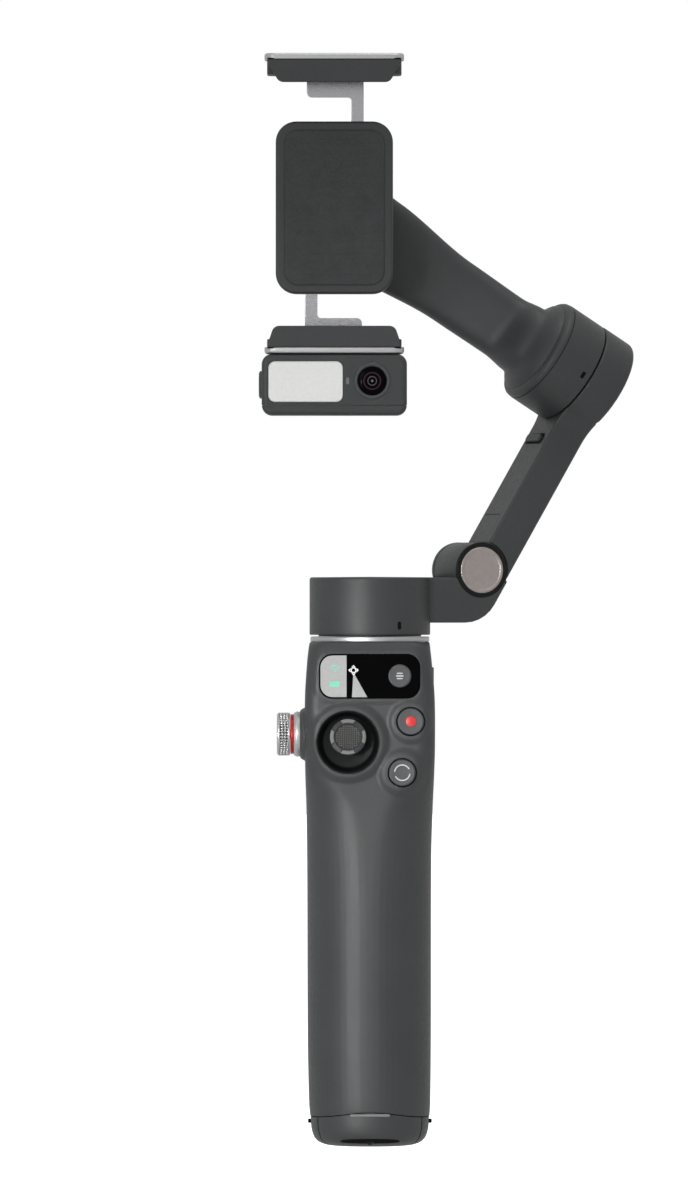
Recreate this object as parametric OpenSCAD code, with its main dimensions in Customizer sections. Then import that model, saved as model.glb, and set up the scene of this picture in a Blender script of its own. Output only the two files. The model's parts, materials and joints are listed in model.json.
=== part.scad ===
// Three axis camera gimbal for a phone: folding arm, telescopic rod, built-in tripod.
// Millimetres. The origin is the centre of the base, +Z runs up the handle and -Y is the front.

/* [Handle] */
// Width of the grip
grip_w = 36.2; // [35.8:0.1:36.6]
// Depth of the grip
grip_d = 36; // [35.6:0.1:36.4]
// Height of the top of the handle casing
handle_top = 146.3; // [145.9:0.1:146.6]
// How far the head stands out from the grip on every side
head_proud = 0.8; // [0.6:0.1:1]
// Thickness of the casing wall
wall = 1.8; // [1.6:0.1:2]

/* [Controls] */
// Centre of the joystick well across the head
joy_x = -6.35; // [-6.6:0.05:-6.2]
// Height of the joystick well
joy_z = 117.3; // [117:0.1:117.6]
// How far the joystick leans up at rest
joy_lean = 13; // [11:1:14]
// Centre height of the side wheel
wheel_z = 119.5; // [119:0.1:120]

/* [Rod] */
// Outer radius of the fixed sleeve of the telescopic rod
sleeve_r = 5.5; // [5.45:0.01:5.55]
// Distance of the rod behind the handle axis
rod_y = 9.5; // [9.3:0.1:9.6]

/* [Motors and arm] */
// Radius of the pan motor
pan_r = 17.5; // [17.2:0.1:17.8]
// Radius of the tilt motor
tilt_r = 16; // [15.6:0.1:16.2]
// Radius of the roll motor
roll_r = 14; // [13.6:0.1:14.2]
// Angle the arm is panned to at rest
pan_rest = 23; // [21:1:25]
// Lean of the upper arm above the horizontal
arm_lean = 58.8; // [58:0.1:59.6]
// Distance of the fold hinge from the pan axis
hinge_u = 31.5; // [31.2:0.1:31.8]
// Height of the fold hinge
hinge_z = 167; // [166.8:0.1:167.3]
// Length from the fold hinge to the tilt motor axis
arm_len = 66.4; // [66:0.1:66.8]
// Width of the upper arm
arm_w = 15.7; // [15.4:0.1:16]

/* [Clamp] */
// Centre of the clamp across
clamp_x = -10.3; // [-10.5:0.1:-10.1]
// Centre height of the clamp
clamp_z = 272; // [271.6:0.1:272.4]
// Opening between the jaws at rest
opening = 76.5; // [76:0.1:77]
// Width of the jaws
jaw_w = 40.4; // [39.8:0.1:41]

/* [Hidden] */
$fn = 64;

// Colours of the finishes
dark = [0.24, 0.25, 0.26];
black = [0.03, 0.03, 0.035];
silver = [0.75, 0.75, 0.76];
copper = [0.72, 0.42, 0.22];

// Cut overlap and running clearance of a shaft in its bore
eps = 0.01;
run = 0.05;

// Handle: levels and corner radii
base_seam = 9.4;
head_start = 104;
front_r = 6;
rear_r = 14;
split_y = 2;
head_front = -grip_d / 2 - head_proud;
wheel_y = -7;

// Buttons: [across, height, radius]; window: [across, height, width, height of the glass];
// power key and charging port: [depth, height]
record = [11.75, 123.25, 3.9];
flip = [9.3, 108.5, 3.9];
mode = [8.6, 136.4, 3.4];
window = [-0.1, 136.3, 29, 12.7];
power = [-6, 134.4];
usb = [6, 99.5];
board_front = -11.5;
plunger_end = board_front - 0.7;
screw_places = [[-13, 62], [13, 62], [-13, 139], [13, 139]];
screw_r = 0.85;
screw_bore = 1.1;
head_seat_y = 12.4;

// Trigger: pin depth, height and radius, hub radius and the width of the blade
trigger_y = 16.7;
trigger_z = 129;
trigger_pin_r = 0.8;
trigger_hub_r = 1.45;
trigger_w = 12;

// Joystick: pivot depth, cap radius and well radius
joy_pivot_y = -14;
joy_cap_r = 5.34;
joy_well_r = 8.7;
joy_floor_r = 3.6;
joy_axle_r = 0.5;
yoke_r = 3.95;
yoke_half = 0.7;

// Tripod legs: pivot radius and height, and the directions they open in
leg_pivot_r = 7.7;
leg_pivot_z = 50;
leg_pin_r = 0.8;
leg_directions = [-90, 30, 150];
carrier_z = 46.5;
post_r = 4.6;
insert_r = 3.9;
thread_r = 3.1;

// Pan motor levels
pan_bottom = 147.8;
pan_h = 16.7;

// Arm section behind and in front of the hinge axis, in the arm's own frame
arm_out = 8.9;
arm_in = 1.7;
motor_gap = 0.4;
hinge_pin_r = 2.2;
hinge_disc_y = 8.3;
tongue_r = 8.1;
tongue_w = 10.4;
tilt_h = 13;
roll_base_y = 20.4;
roll_h = 13.8;
shaft_r = 2.5;

// Clamp levels, measured from its centre, and the jaw rack
jaw_half = opening / 2;
clamp_back = 3;
clamp_front = -3.8;
phone_front = -12.25;
rack_m = 0.6;
rack_teeth = 14;
rack_angle = 25;
rack_y = [-2, 1];
pitch_r = rack_m * rack_teeth / 2;
module_top = clamp_z - 42.6;
module_low = clamp_z - 60.3;
module_front = -13.5;
module_back = 1.5;
jaw_back_z = 32;

// Front of the module: [across, height] of the light panel and the lens, and its side key
panel = [clamp_x - 8.3, 221.4];
lens = [0.64, 221.6];
side_key = [-6, 220.6];

// Places an outline drawn in X and Z so that it rises towards the front from depth y
module facing(y) {
    translate([0, y, 0])
        rotate([90, 0, 0])
            children();
}

// A flat disc or pin along Y, from depth y_back towards the front
module front_disc(x, z, r, y_back, y_front) {
    facing(y_back)
        translate([x, z, 0])
            cylinder(h = y_back - y_front, r = r);
}

// Rectangle with round corners, centred
module rounded(w, h, r) {
    square([w - 2 * r, h], center = true);
    square([w, h - 2 * r], center = true);
    for (x = [-1, 1], y = [-1, 1])
        translate([x * (w / 2 - r), y * (h / 2 - r)])
            circle(r);
}

// Frames of the pan motor, the fold hinge, the tilt motor and the roll motor
module at_pan() {
    rotate([0, 0, pan_rest])
        children();
}

module at_arm() {
    at_pan()
        translate([hinge_u, 0, hinge_z])
            rotate([0, -arm_lean, 0])
                children();
}

module at_tilt() {
    at_arm()
        translate([arm_len, 0, arm_in])
            children();
}

module at_roll() {
    translate([clamp_x, roll_base_y, clamp_z])
        rotate([90, 0, 0])
            children();
}

module at_clamp() {
    translate([clamp_x, 0, clamp_z])
        children();
}

// A tube standing on z = 0
module tube(h, r_out, r_in) {
    difference() {
        cylinder(h = h, r = r_out);
        translate([0, 0, -eps])
            cylinder(h = h + 2 * eps, r = r_in);
    }
}

// Handle outline from above, taken in by inset; the front corners are tighter than the rear ones
module handle_outline(inset) {
    hw = grip_w / 2 - inset;
    hd = grip_d / 2 - inset;
    rf = front_r - inset;
    rr = rear_r - inset;
    polygon([
        [-hw + rf, -hd], [hw - rf, -hd], [hw, -hd + rf], [hw, hd - rr],
        [hw - rr, hd], [-hw + rr, hd], [-hw, hd - rr], [-hw, -hd + rf]
    ]);
    for (side = [-1, 1]) {
        translate([side * (hw - rf), -hd + rf])
            circle(rf);
        translate([side * (hw - rr), hd - rr])
            circle(rr);
    }
}

module handle_skin() {
    difference() {
        union() {
            translate([0, 0, base_seam])
                linear_extrude(head_start - base_seam)
                    handle_outline(0);
            translate([0, 0, head_start])
                linear_extrude(handle_top - head_start)
                    handle_outline(-head_proud);
        }
        translate([0, 0, base_seam - 1])
            linear_extrude(handle_top - base_seam + 2)
                handle_outline(wall);
    }
}

// The half of space in front of the seam between the two shells
module front_half() {
    translate([-40, split_y - 60, -1])
        cube([80, 60, 180]);
}

module screw_post(y_back, y_front, bore) {
    for (p = screw_places)
        difference() {
            front_disc(p[0], p[1], 2.2, y_back, y_front);
            front_disc(p[0], p[1], bore, y_back + 1, y_front - 1);
        }
}

module handle_front_shell() {
    color(dark) {
        difference() {
            intersection() {
                handle_skin();
                front_half();
            }
            facing(0)
                translate([window[0], window[1], 0])
                    linear_extrude(30)
                        rounded(window[2] + 0.2, window[3] + 0.2, 3.8);
            front_disc(joy_x, joy_z, 9.85, -8, -30);
            for (b = [record, flip])
                front_disc(b[0], b[1], b[2] + 0.25, -8, -30);
            translate([-30, wheel_y, wheel_z])
                rotate([0, 90, 0])
                    cylinder(h = 20, r = 8.1);
            translate([10, power[0], power[1]])
                rotate([0, 90, 0])
                    linear_extrude(15)
                        rounded(9.2, 3.4, 1.69);
        }
        screw_post(split_y, -15.4, screw_r);
        for (b = [record, flip])
            difference() {
                front_disc(b[0], b[1], 5.1, -14.6, head_front - 0.5);
                front_disc(b[0], b[1], b[2] + 0.25, -8, -30);
            }
    }
}

module handle_rear_shell() {
    color(dark)
        difference() {
            union() {
                difference() {
                    handle_skin();
                    front_half();
                }
                intersection() {
                    screw_post(17, split_y, screw_bore);
                    translate([0, 0, base_seam])
                        linear_extrude(handle_top - base_seam)
                            handle_outline(1);
                }
                for (side = [-1, 1])
                    translate([side * 7.5, trigger_y, trigger_z])
                        rotate([0, 90, 0])
                            cylinder(h = 2, r = trigger_hub_r, center = true);
            }
            for (p = screw_places) {
                front_disc(p[0], p[1], 2.05, 30, head_seat_y);
                front_disc(p[0], p[1], screw_bore, head_seat_y + 1, split_y - 1);
            }
            translate([-trigger_w / 2 - 0.4, 12, 108.5])
                cube([trigger_w + 0.8, 15, 22.6]);
            translate([0, trigger_y, trigger_z])
                rotate([0, 90, 0])
                    cylinder(h = 18, r = trigger_pin_r, center = true);
            translate([10, usb[0], usb[1]])
                rotate([0, 90, 0])
                    linear_extrude(15)
                        rounded(9.6, 3.9, 1.9);
        }
}

module head_trim_ring() {
    color(silver)
        translate([0, 0, handle_top])
            tube(1.4, 17.2, 15.5);
}

module display_window() {
    color(black)
        difference() {
            facing(-17.4)
                translate([window[0], window[1], 0])
                    linear_extrude(1.6)
                        rounded(window[2], window[3], 3.7);
            front_disc(mode[0], mode[1], mode[2] + 0.12, -10, -30);
        }
}

module main_board() {
    color([0.06, 0.2, 0.12])
        difference() {
            translate([-13.4, board_front, 106.5])
                cube([26.8, 1.1, 36]);
            for (p = screw_places)
                front_disc(p[0], p[1], 2.7, 0, -30);
        }
}

module battery_cell() {
    color([0.2, 0.45, 0.75])
        translate([0, -6, 56.2]) {
            cylinder(h = 48.6, r = 9.15);
            cylinder(h = 49.5, r = 3);
        }
}

module rod_sleeve() {
    color(silver) {
        translate([0, rod_y, 56])
            tube(90.3, sleeve_r, sleeve_r - 0.45);
        translate([0, 0, handle_top - 2.3])
            difference() {
                linear_extrude(2.3)
                    handle_outline(wall);
                translate([0, rod_y, -1])
                    cylinder(h = 5, r = sleeve_r);
            }
    }
}

// One sliding stage of the rod, with a thin wall
module stage(r, top) {
    color(silver)
        translate([0, rod_y, 57])
            tube(top - 57, r, r - 0.55);
}

module rod_stage_1() {
    stage(sleeve_r - 0.45 - run, 147.0);
}

module rod_stage_2() {
    stage(sleeve_r - 1.05 - run, 147.3);
}

module rod_stage_3() {
    stage(sleeve_r - 1.65 - run, pan_bottom);
}

// Raised round well of the joystick, with the pivot housing behind its floor
module joystick_collar() {
    color(dark)
        difference() {
            union() {
                front_disc(joy_x, joy_z, 9.8, -15.2, -19.6);
                front_disc(joy_x, joy_z, 6.4, board_front, -15.3);
            }
            front_disc(joy_x, joy_z, joy_well_r, -16, -25);
            front_disc(joy_x, joy_z, joy_floor_r, -12.5, -17);
            front_disc(joy_x, joy_z, 5, board_front - 0.4, -15.6);
            translate([joy_x, joy_pivot_y, joy_z])
                rotate([0, 90, 0])
                    cylinder(h = 12, r = joy_axle_r + run, center = true);
        }
}

module joystick_yoke() {
    color(silver)
        difference() {
            union() {
                front_disc(joy_x, joy_z, yoke_r, joy_pivot_y + yoke_half, joy_pivot_y - yoke_half);
                translate([joy_x, joy_pivot_y, joy_z])
                    rotate([0, 90, 0])
                        cylinder(h = 12, r = joy_axle_r, center = true);
            }
            front_disc(joy_x, joy_z, 3, joy_pivot_y + 2, joy_pivot_y - 2);
            translate([joy_x, joy_pivot_y, joy_z])
                cylinder(h = 12, r = 0.45 + run, center = true);
        }
}

// Frame of the leaning joystick: Z runs out towards the thumb
module at_stick() {
    translate([joy_x, joy_pivot_y, joy_z])
        rotate([90 - joy_lean, 0, 0])
            children();
}

module joystick_stick() {
    color(silver) {
        translate([joy_x, joy_pivot_y, joy_z]) {
            sphere(r = 1.9);
            cylinder(h = 7.6, r = 0.45, center = true);
        }
        at_stick()
            cylinder(h = 5.4, r = 1.3);
    }
}

module joystick_cap() {
    color(dark)
        at_stick()
            translate([0, 0, 5.4])
                difference() {
                    cylinder(h = 1.8, r = joy_cap_r);
                    translate([0, 0, 1.3])
                        cylinder(h = 2, r = 3.7);
                }
}

module push_button(b, y_front) {
    front_disc(b[0], b[1], b[2], -17, y_front);
    front_disc(b[0], b[1], 1.1, plunger_end, -17);
}

module record_button() {
    color(dark)
        push_button(record, -19.8);
}

module flip_button() {
    color(dark)
        push_button(flip, -19.8);
}

module mode_button() {
    color(dark)
        push_button(mode, -19.4);
}

module power_button() {
    color(dark)
        translate([16.6, power[0], power[1]])
            rotate([0, 90, 0])
                linear_extrude(2.8)
                    rounded(9, 3.2, 1.59);
}

module wheel_boss() {
    color(dark)
        translate([-20.2, wheel_y, wheel_z])
            rotate([0, 90, 0])
                difference() {
                    union() {
                        cylinder(h = 3.6, r = 8.05);
                        translate([0, 0, -1.9])
                            cylinder(h = 2, r = 6.5);
                    }
                    translate([0, 0, -3])
                        cylinder(h = 8, r = 1.5 + run);
                }
}

module wheel_red_ring() {
    color([0.78, 0.2, 0.22])
        translate([-23.1, wheel_y, wheel_z])
            rotate([0, 90, 0])
                tube(1, 5.75, 1.5 + run);
}

module wheel_knob() {
    color([0.35, 0.35, 0.36])
        translate([-26.9, wheel_y, wheel_z])
            rotate([0, 90, 0]) {
                difference() {
                    cylinder(h = 3.5, r = 6.2);
                    for (a = [0:10:350])
                        rotate([0, 0, a])
                            translate([6.3, 0, -1])
                                cylinder(h = 4.1, r = 0.3);
                }
                translate([0, 0, 3.4])
                    cylinder(h = 8.6, r = 1.5);
            }
}

module usb_socket() {
    color(silver)
        translate([10.9, usb[0], usb[1]])
            rotate([0, 90, 0])
                difference() {
                    linear_extrude(7)
                        rounded(9.3, 3.6, 1.75);
                    translate([0, 0, 1])
                        linear_extrude(7)
                            rounded(8.4, 2.6, 1.25);
                    translate([0, 0, 1])
                        cylinder(h = 1, r = 0.6);
                }
}

module shell_screws() {
    color(silver)
        for (p = screw_places) {
            front_disc(p[0], p[1], screw_r, head_seat_y + 0.1, -6);
            difference() {
                front_disc(p[0], p[1], 1.9, head_seat_y + 1.5, head_seat_y);
                facing(14.5)
                    translate([p[0], p[1], 0])
                        cylinder(h = 1.4, r = 0.8, $fn = 6);
            }
        }
}

module trigger_pin() {
    color(silver)
        translate([0, trigger_y, trigger_z])
            rotate([0, 90, 0])
                cylinder(h = 16.6, r = trigger_pin_r, center = true);
}

// Trigger: its back stays behind the rod sleeve when it is pulled all the way
module trigger() {
    color(dark)
        translate([-trigger_w / 2, 0, 0])
            difference() {
                rotate([90, 0, 90])
                    linear_extrude(trigger_w)
                        difference() {
                            union() {
                                translate([trigger_y, trigger_z])
                                    circle(trigger_hub_r);
                                polygon([
                                    [17.7, 110], [20.4, 110], [21.8, 112], [21.4, 118],
                                    [19.4, 125], [18, trigger_z], [15.4, trigger_z]
                                ]);
                            }
                            translate([trigger_y, trigger_z])
                                circle(trigger_pin_r + run);
                        }
                translate([2, 10, 111.5])
                    cube([trigger_w - 4, 9, 14]);
            }
}

// Post that the leg carrier slides on, with its boss at the foot and its flange inside the grip
module guide_post() {
    color(dark)
        difference() {
            union() {
                translate([0, 0, 0.6])
                    cylinder(h = 7.4, r = 6);
                translate([0, 0, 0.6])
                    cylinder(h = 53.6, r = post_r);
                translate([0, 0, 54])
                    linear_extrude(1.8)
                        handle_outline(wall);
            }
            translate([0, 0, -1])
                cylinder(h = 9.6, r = insert_r);
        }
}

module thread_insert() {
    color([0.8, 0.65, 0.3])
        tube(8.6, insert_r, thread_r);
}

module tripod_carrier() {
    color(dark)
        translate([0, 0, carrier_z])
            difference() {
                union() {
                    cylinder(h = 6.8, r = 6);
                    for (a = leg_directions, side = [-1, 1])
                        rotate([0, 0, a])
                            translate([5, side * 4.2 - 0.9, 1])
                                cube([4.6, 1.8, 5.5]);
                }
                translate([0, 0, -1])
                    cylinder(h = 10, r = post_r + run);
                for (a = leg_directions)
                    rotate([0, 0, a])
                        translate([leg_pivot_r, 0, leg_pivot_z - carrier_z])
                            rotate([90, 0, 0])
                                cylinder(h = 12, r = leg_pin_r, center = true);
            }
}

module leg_pins() {
    color(silver)
        for (a = leg_directions)
            rotate([0, 0, a])
                translate([leg_pivot_r, 0, leg_pivot_z])
                    rotate([90, 0, 0])
                        cylinder(h = 10.2, r = leg_pin_r, center = true);
}

// One tripod leg: a slender bar inside the grip and a third of the rounded base as its foot
module leg(direction) {
    color(dark)
        rotate([0, 0, direction])
            difference() {
                union() {
                    translate([leg_pivot_r - 1.3, -3, 6])
                        cube([2.6, 6, leg_pivot_z - 6]);
                    translate([leg_pivot_r, 0, leg_pivot_z])
                        rotate([90, 0, 0])
                            cylinder(h = 6, r = 1.3, center = true);
                    rotate([0, 0, -58.4])
                        rotate_extrude(angle = 116.8)
                            polygon([
                                [6.4, 0.5], [9, 0.5], [13.9, 1.4], [15.9, 2.5], [17.05, 5.5],
                                [17.5, 9], [6.4, 9]
                            ]);
                }
                translate([leg_pivot_r, 0, leg_pivot_z])
                    rotate([90, 0, 0])
                        cylinder(h = 8, r = leg_pin_r + run, center = true);
            }
}

module leg_front() {
    leg(-90);
}

module leg_left() {
    leg(150);
}

module leg_right() {
    leg(30);
}

// Motor pieces, in a frame whose z = 0 is the fixed face and whose Z runs out of the motor
module motor_stator(r, h, bore) {
    color(copper)
        difference() {
            union() {
                cylinder(h = 1, r = r - 3.6);
                cylinder(h = h - 2.4, r = 5.6);
                for (a = [0:40:320])
                    rotate([0, 0, a])
                        translate([5, -1.4, 1])
                            cube([r - 9, 2.8, h - 4.4]);
                translate([0, 0, 1])
                    tube(h - 4.2, r - 2.9, r - 4.4);
            }
            translate([0, 0, -1])
                cylinder(h = h + 2, r = bore);
        }
}

module motor_can(r, h) {
    difference() {
        cylinder(h = h - motor_gap, r = r);
        translate([0, 0, -eps])
            cylinder(h = h - motor_gap - 1.8, r = r - 2.2);
        translate([0, 0, -eps])
            cylinder(h = h, r = shaft_r);
    }
}

module motor_shaft(h) {
    color(silver)
        translate([0, 0, 1.2])
            cylinder(h = h - 1.2 - motor_gap, r = shaft_r);
}

module pan_base() {
    color(dark)
        translate([0, 0, pan_bottom])
            cylinder(h = 1.8, r = 14.9);
}

module pan_stator() {
    translate([0, 0, pan_bottom + 1.8])
        motor_stator(pan_r, pan_h - 2, 4);
}

module pan_bearings() {
    color(silver)
        for (z = [pan_bottom + 2, pan_bottom + 10.5])
            translate([0, 0, z])
                tube(3, 4, shaft_r + run);
}

module pan_housing() {
    color(dark)
        translate([0, 0, pan_bottom + motor_gap])
            motor_can(pan_r, pan_h + motor_gap);
}

module pan_shaft() {
    translate([0, 0, pan_bottom + 1.8])
        motor_shaft(pan_h - 1.4);
}

// Bracket from the pan motor to the fold hinge, with a fork for the arm's tongue
module lower_bracket() {
    color(dark)
        at_pan()
            difference() {
                translate([0, 8.9, 0])
                    rotate([90, 0, 0])
                        linear_extrude(17.8)
                            union() {
                                hull() {
                                    translate([hinge_u, hinge_z])
                                        circle(8.1);
                                    translate([14, 158])
                                        square([2, 6]);
                                    translate([27, 159.5])
                                        circle(7.8);
                                }
                                translate([12, 151.7])
                                    square([14.4, 13]);
                            }
                cylinder(h = 400, r = pan_r + eps);
                translate([hinge_u, 0, hinge_z])
                    rotate([90, 0, 0])
                        cylinder(h = 10.8, r = 8.7, center = true);
                translate([hinge_u - 11, -5.4, hinge_z])
                    cube([30, 10.8, 30]);
                translate([hinge_u, 0, hinge_z])
                    rotate([90, 0, 0])
                        cylinder(h = 30, r = hinge_pin_r, center = true);
                translate([hinge_u, 0, hinge_z])
                    for (side = [0, 180])
                        rotate([0, 0, side])
                            translate([0, -hinge_disc_y, 0])
                                rotate([90, 0, 0])
                                    cylinder(h = 5, r = 6.75);
            }
}

module hinge_pin() {
    color(silver)
        at_pan()
            translate([hinge_u, 0, hinge_z])
                rotate([90, 0, 0])
                    cylinder(h = 2 * hinge_disc_y, r = hinge_pin_r, center = true);
}

module hinge_discs() {
    color([0.6, 0.57, 0.55])
        at_pan()
            translate([hinge_u, 0, hinge_z])
                for (side = [0, 180])
                    rotate([0, 0, side])
                        translate([0, -hinge_disc_y, 0])
                            rotate([90, 0, 0])
                                cylinder(h = 1, r = 6.7);
}

// Arm outline in its own plane: a bar that widens into the round cap of the tilt motor
module arm_outline(inset) {
    offset(delta = -inset)
        offset(r = -9)
            offset(delta = 9) {
                translate([-12, -arm_w / 2])
                    square([arm_len + 12, arm_w]);
                translate([arm_len, 0])
                    circle(tilt_r);
            }
}

module arm_shell() {
    color(dark)
        at_arm()
            difference() {
                union() {
                    difference() {
                        translate([0, 0, -arm_out])
                            linear_extrude(arm_out + arm_in)
                                arm_outline(0);
                        rotate([90, 0, 0])
                            cylinder(h = 30, r = 8.8, center = true);
                        translate([-20, -12, -12])
                            cube([22, 24, 24]);
                        translate([14, -5.6, -arm_out - 1])
                            cube([46, 11.2, arm_out - 1]);
                    }
                    rotate([90, 0, 0])
                        cylinder(h = tongue_w, r = tongue_r, center = true);
                    translate([2, -tongue_w / 2, -6.6])
                        cube([8, tongue_w, arm_in + 6.6]);
                }
                rotate([90, 0, 0])
                    cylinder(h = 30, r = hinge_pin_r + run, center = true);
            }
}

// Cover let into the outer face of the arm, over its wiring
module arm_cover() {
    color(dark)
        at_arm()
            translate([14.1, -5.5, -arm_out])
                cube([45.8, 11, 1.2]);
}

module tilt_stator() {
    at_tilt()
        motor_stator(tilt_r, tilt_h, shaft_r + run);
}

module tilt_housing() {
    color(dark)
        at_tilt()
            translate([0, 0, motor_gap])
                motor_can(tilt_r, tilt_h);
}

module tilt_shaft() {
    at_tilt()
        translate([0, 0, motor_gap])
            motor_shaft(tilt_h);
}

// Section of the tilt arm where it leaves the motor; it stays behind the roll motor's base
module tilt_arm_waist() {
    translate([34, roll_base_y + 5.6, 240.5])
        rotate([0, 34.4, 0])
            cube([1, 11, 20.4], center = true);
}

// Arm from the tilt motor to the roll motor, in the world frame at rest
module tilt_arm() {
    color(dark) {
        hull() {
            at_tilt()
                translate([0, 0, tilt_h])
                    cylinder(h = 2.4, r = tilt_r - 0.8, $fn = 40);
            tilt_arm_waist();
        }
        hull() {
            tilt_arm_waist();
            translate([clamp_x, roll_base_y + 6, clamp_z])
                rotate([90, 0, 0])
                    cylinder(h = 6, r = roll_r, $fn = 40);
        }
    }
}

module roll_stator() {
    at_roll()
        motor_stator(roll_r, roll_h, shaft_r + run);
}

module roll_housing() {
    color(dark)
        at_roll()
            translate([0, 0, motor_gap])
                motor_can(roll_r, roll_h);
}

module roll_shaft() {
    at_roll()
        translate([0, 0, motor_gap])
            motor_shaft(roll_h);
}

// Magnetic plate that the clamp snaps onto, with two locating pins
module magnet_plate() {
    color(silver) {
        translate([clamp_x, roll_base_y - roll_h, clamp_z])
            rotate([90, 0, 0])
                cylinder(h = roll_base_y - roll_h - clamp_back - run, r = 13);
        for (side = [-1, 1])
            translate([clamp_x + side * 8, clamp_back + 1, clamp_z])
                rotate([90, 0, 0])
                    cylinder(h = 2, r = 1.2);
    }
}

// Plate behind the phone: a flat box whose slot guides the two racks
module clamp_body() {
    color(dark)
        at_clamp()
            difference() {
                facing(clamp_back)
                    linear_extrude(clamp_back - clamp_front)
                        rounded(34, 50, 6);
                translate([-9.2, rack_y[0] - 0.1, -30])
                    cube([18.4, rack_y[1] - rack_y[0] + 0.2, 60]);
                for (side = [-1, 1])
                    translate([side * 8, clamp_back + 1, 0])
                        rotate([90, 0, 0])
                            cylinder(h = 2.4, r = 1.2 + run);
                rotate([90, 0, 0])
                    cylinder(h = 20, r = 1.2 + run, center = true);
            }
}

// One point of an involute, unrolled by t degrees from a base circle of radius rb
function involute(rb, t) =
    let (a = t * PI / 180)
    [rb * (cos(t) + a * sin(t)), rb * (sin(t) - a * cos(t))];

// One side of a gear tooth, turned so that the tooth is centred on the X axis
function flank(side) =
    let (
        rb = pitch_r * cos(rack_angle),
        t_pitch = tan(rack_angle) * 180 / PI,
        t_tip = sqrt(pow((pitch_r + 0.9 * rack_m) / rb, 2) - 1) * 180 / PI,
        turn = 90 / rack_teeth - 1.2 + t_pitch - rack_angle
    )
    [for (i = [0:6])
        let (
            p = involute(rb, t_tip * i / 6),
            c = cos(turn),
            s = sin(turn)
        )
        [p[0] * c + p[1] * s, side * (p[0] * s - p[1] * c)]];

module jaw_pinion() {
    color(silver)
        at_clamp()
            facing(rack_y[1]) {
                linear_extrude(rack_y[1] - rack_y[0]) {
                    circle(pitch_r - 1.15 * rack_m);
                    for (i = [0:rack_teeth - 1])
                        rotate(360 / rack_teeth * i)
                            polygon(concat(
                                [[2, -0.3]],
                                flank(-1),
                                [for (k = [6:-1:0]) flank(1)[k]],
                                [[2, 0.3]]
                            ));
                }
                translate([0, 0, -1.9])
                    cylinder(h = 6.6, r = 1.2);
            }
}

// Toothed bar on the +X side of the pinion, from z_low to z_high, with a tooth gap at z = 0
module rack(z_low, z_high) {
    pitch = PI * rack_m;
    half = pitch / 4 - 0.06;
    lean = tan(rack_angle);
    linear_extrude(rack_y[1] - rack_y[0]) {
        translate([pitch_r + 1.15 * rack_m, z_low])
            square([3.6, z_high - z_low]);
        for (k = [-6:5])
            translate([pitch_r, (k + 0.5) * pitch])
                polygon([
                    [1.2 * rack_m, -half - 1.2 * rack_m * lean], [-0.9 * rack_m, -half + 0.9 * rack_m * lean],
                    [-0.9 * rack_m, half - 0.9 * rack_m * lean], [1.2 * rack_m, half + 1.2 * rack_m * lean]
                ]);
    }
}

// A jaw of the clamp, drawn as the upper one: rack, back plate and bright top strip
module jaw(strip_z) {
    facing(rack_y[1])
        rack(-13, strip_z);
    facing(rack_y[1])
        translate([-8, jaw_back_z])
            linear_extrude(rack_y[1] - rack_y[0])
                square([16.5, strip_z - jaw_back_z]);
    translate([0, (module_front + clamp_back) / 2, strip_z])
        linear_extrude(1.9)
            rounded(jaw_w, clamp_back - module_front, 3);
}

module upper_jaw() {
    color(silver)
        at_clamp()
            jaw(jaw_half + 4.25);
}

// Soft lining of a jaw: a floor under the strip and a lip that hooks over the front of the phone
module jaw_pad(strip_z, lip) {
    depth = clamp_back - 0.5 - phone_front;
    difference() {
        translate([0, phone_front + depth / 2, jaw_half])
            linear_extrude(strip_z - jaw_half)
                rounded(jaw_w - 1.4, depth, 3);
        translate([-8.4, rack_y[0] - 0.2, 0])
            cube([17.2, 3.4, 60]);
    }
    facing(phone_front)
        linear_extrude(1.6)
            hull() {
                translate([0, strip_z - 0.5])
                    square([jaw_w - 1.4, 1], center = true);
                translate([0, jaw_half - lip + 2])
                    rounded(33, 4, 1.9);
            }
}

module upper_pad() {
    color(black)
        at_clamp()
            jaw_pad(jaw_half + 4.25, 2.3);
}

module lower_jaw() {
    color(silver)
        at_clamp()
            rotate([0, 180, 0])
                jaw(jaw_half + 2.3);
}

module lower_pad() {
    color(black)
        at_clamp()
            rotate([0, 180, 0])
                jaw_pad(jaw_half + 2.3, 3.8);
}

// Tracking and light module under the lower jaw
module module_body() {
    color(dark)
        difference() {
            facing(module_back)
                translate([clamp_x, (module_top + module_low) / 2, 0])
                    linear_extrude(module_back - module_front)
                        rounded(42, module_top - module_low, 2.6);
            facing(module_front + 1)
                translate([panel[0], panel[1], 0])
                    linear_extrude(2)
                        rounded(21.8, 12, 2.1);
            front_disc(lens[0], lens[1], 4.2, module_front + 2.4, -20);
            translate([clamp_x - 22, side_key[0], side_key[1]])
                rotate([0, 90, 0])
                    cylinder(h = 3, r = 4.15);
        }
}

module module_light_panel() {
    color([0.9, 0.9, 0.88])
        facing(module_front + 1)
            translate([panel[0], panel[1], 0])
                linear_extrude(1.1)
                    rounded(21.6, 11.8, 2);
}

module module_lens() {
    color(black) {
        front_disc(lens[0], lens[1], 4.15, module_front + 2.4, module_front + 0.5);
        facing(module_front)
            translate([lens[0], lens[1], 0])
                tube(0.5, 5.3, 4.2);
    }
}

module module_button() {
    color(dark)
        translate([clamp_x - 21.9, side_key[0], side_key[1]])
            rotate([0, 90, 0])
                cylinder(h = 2.2, r = 4.05);
}

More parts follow.
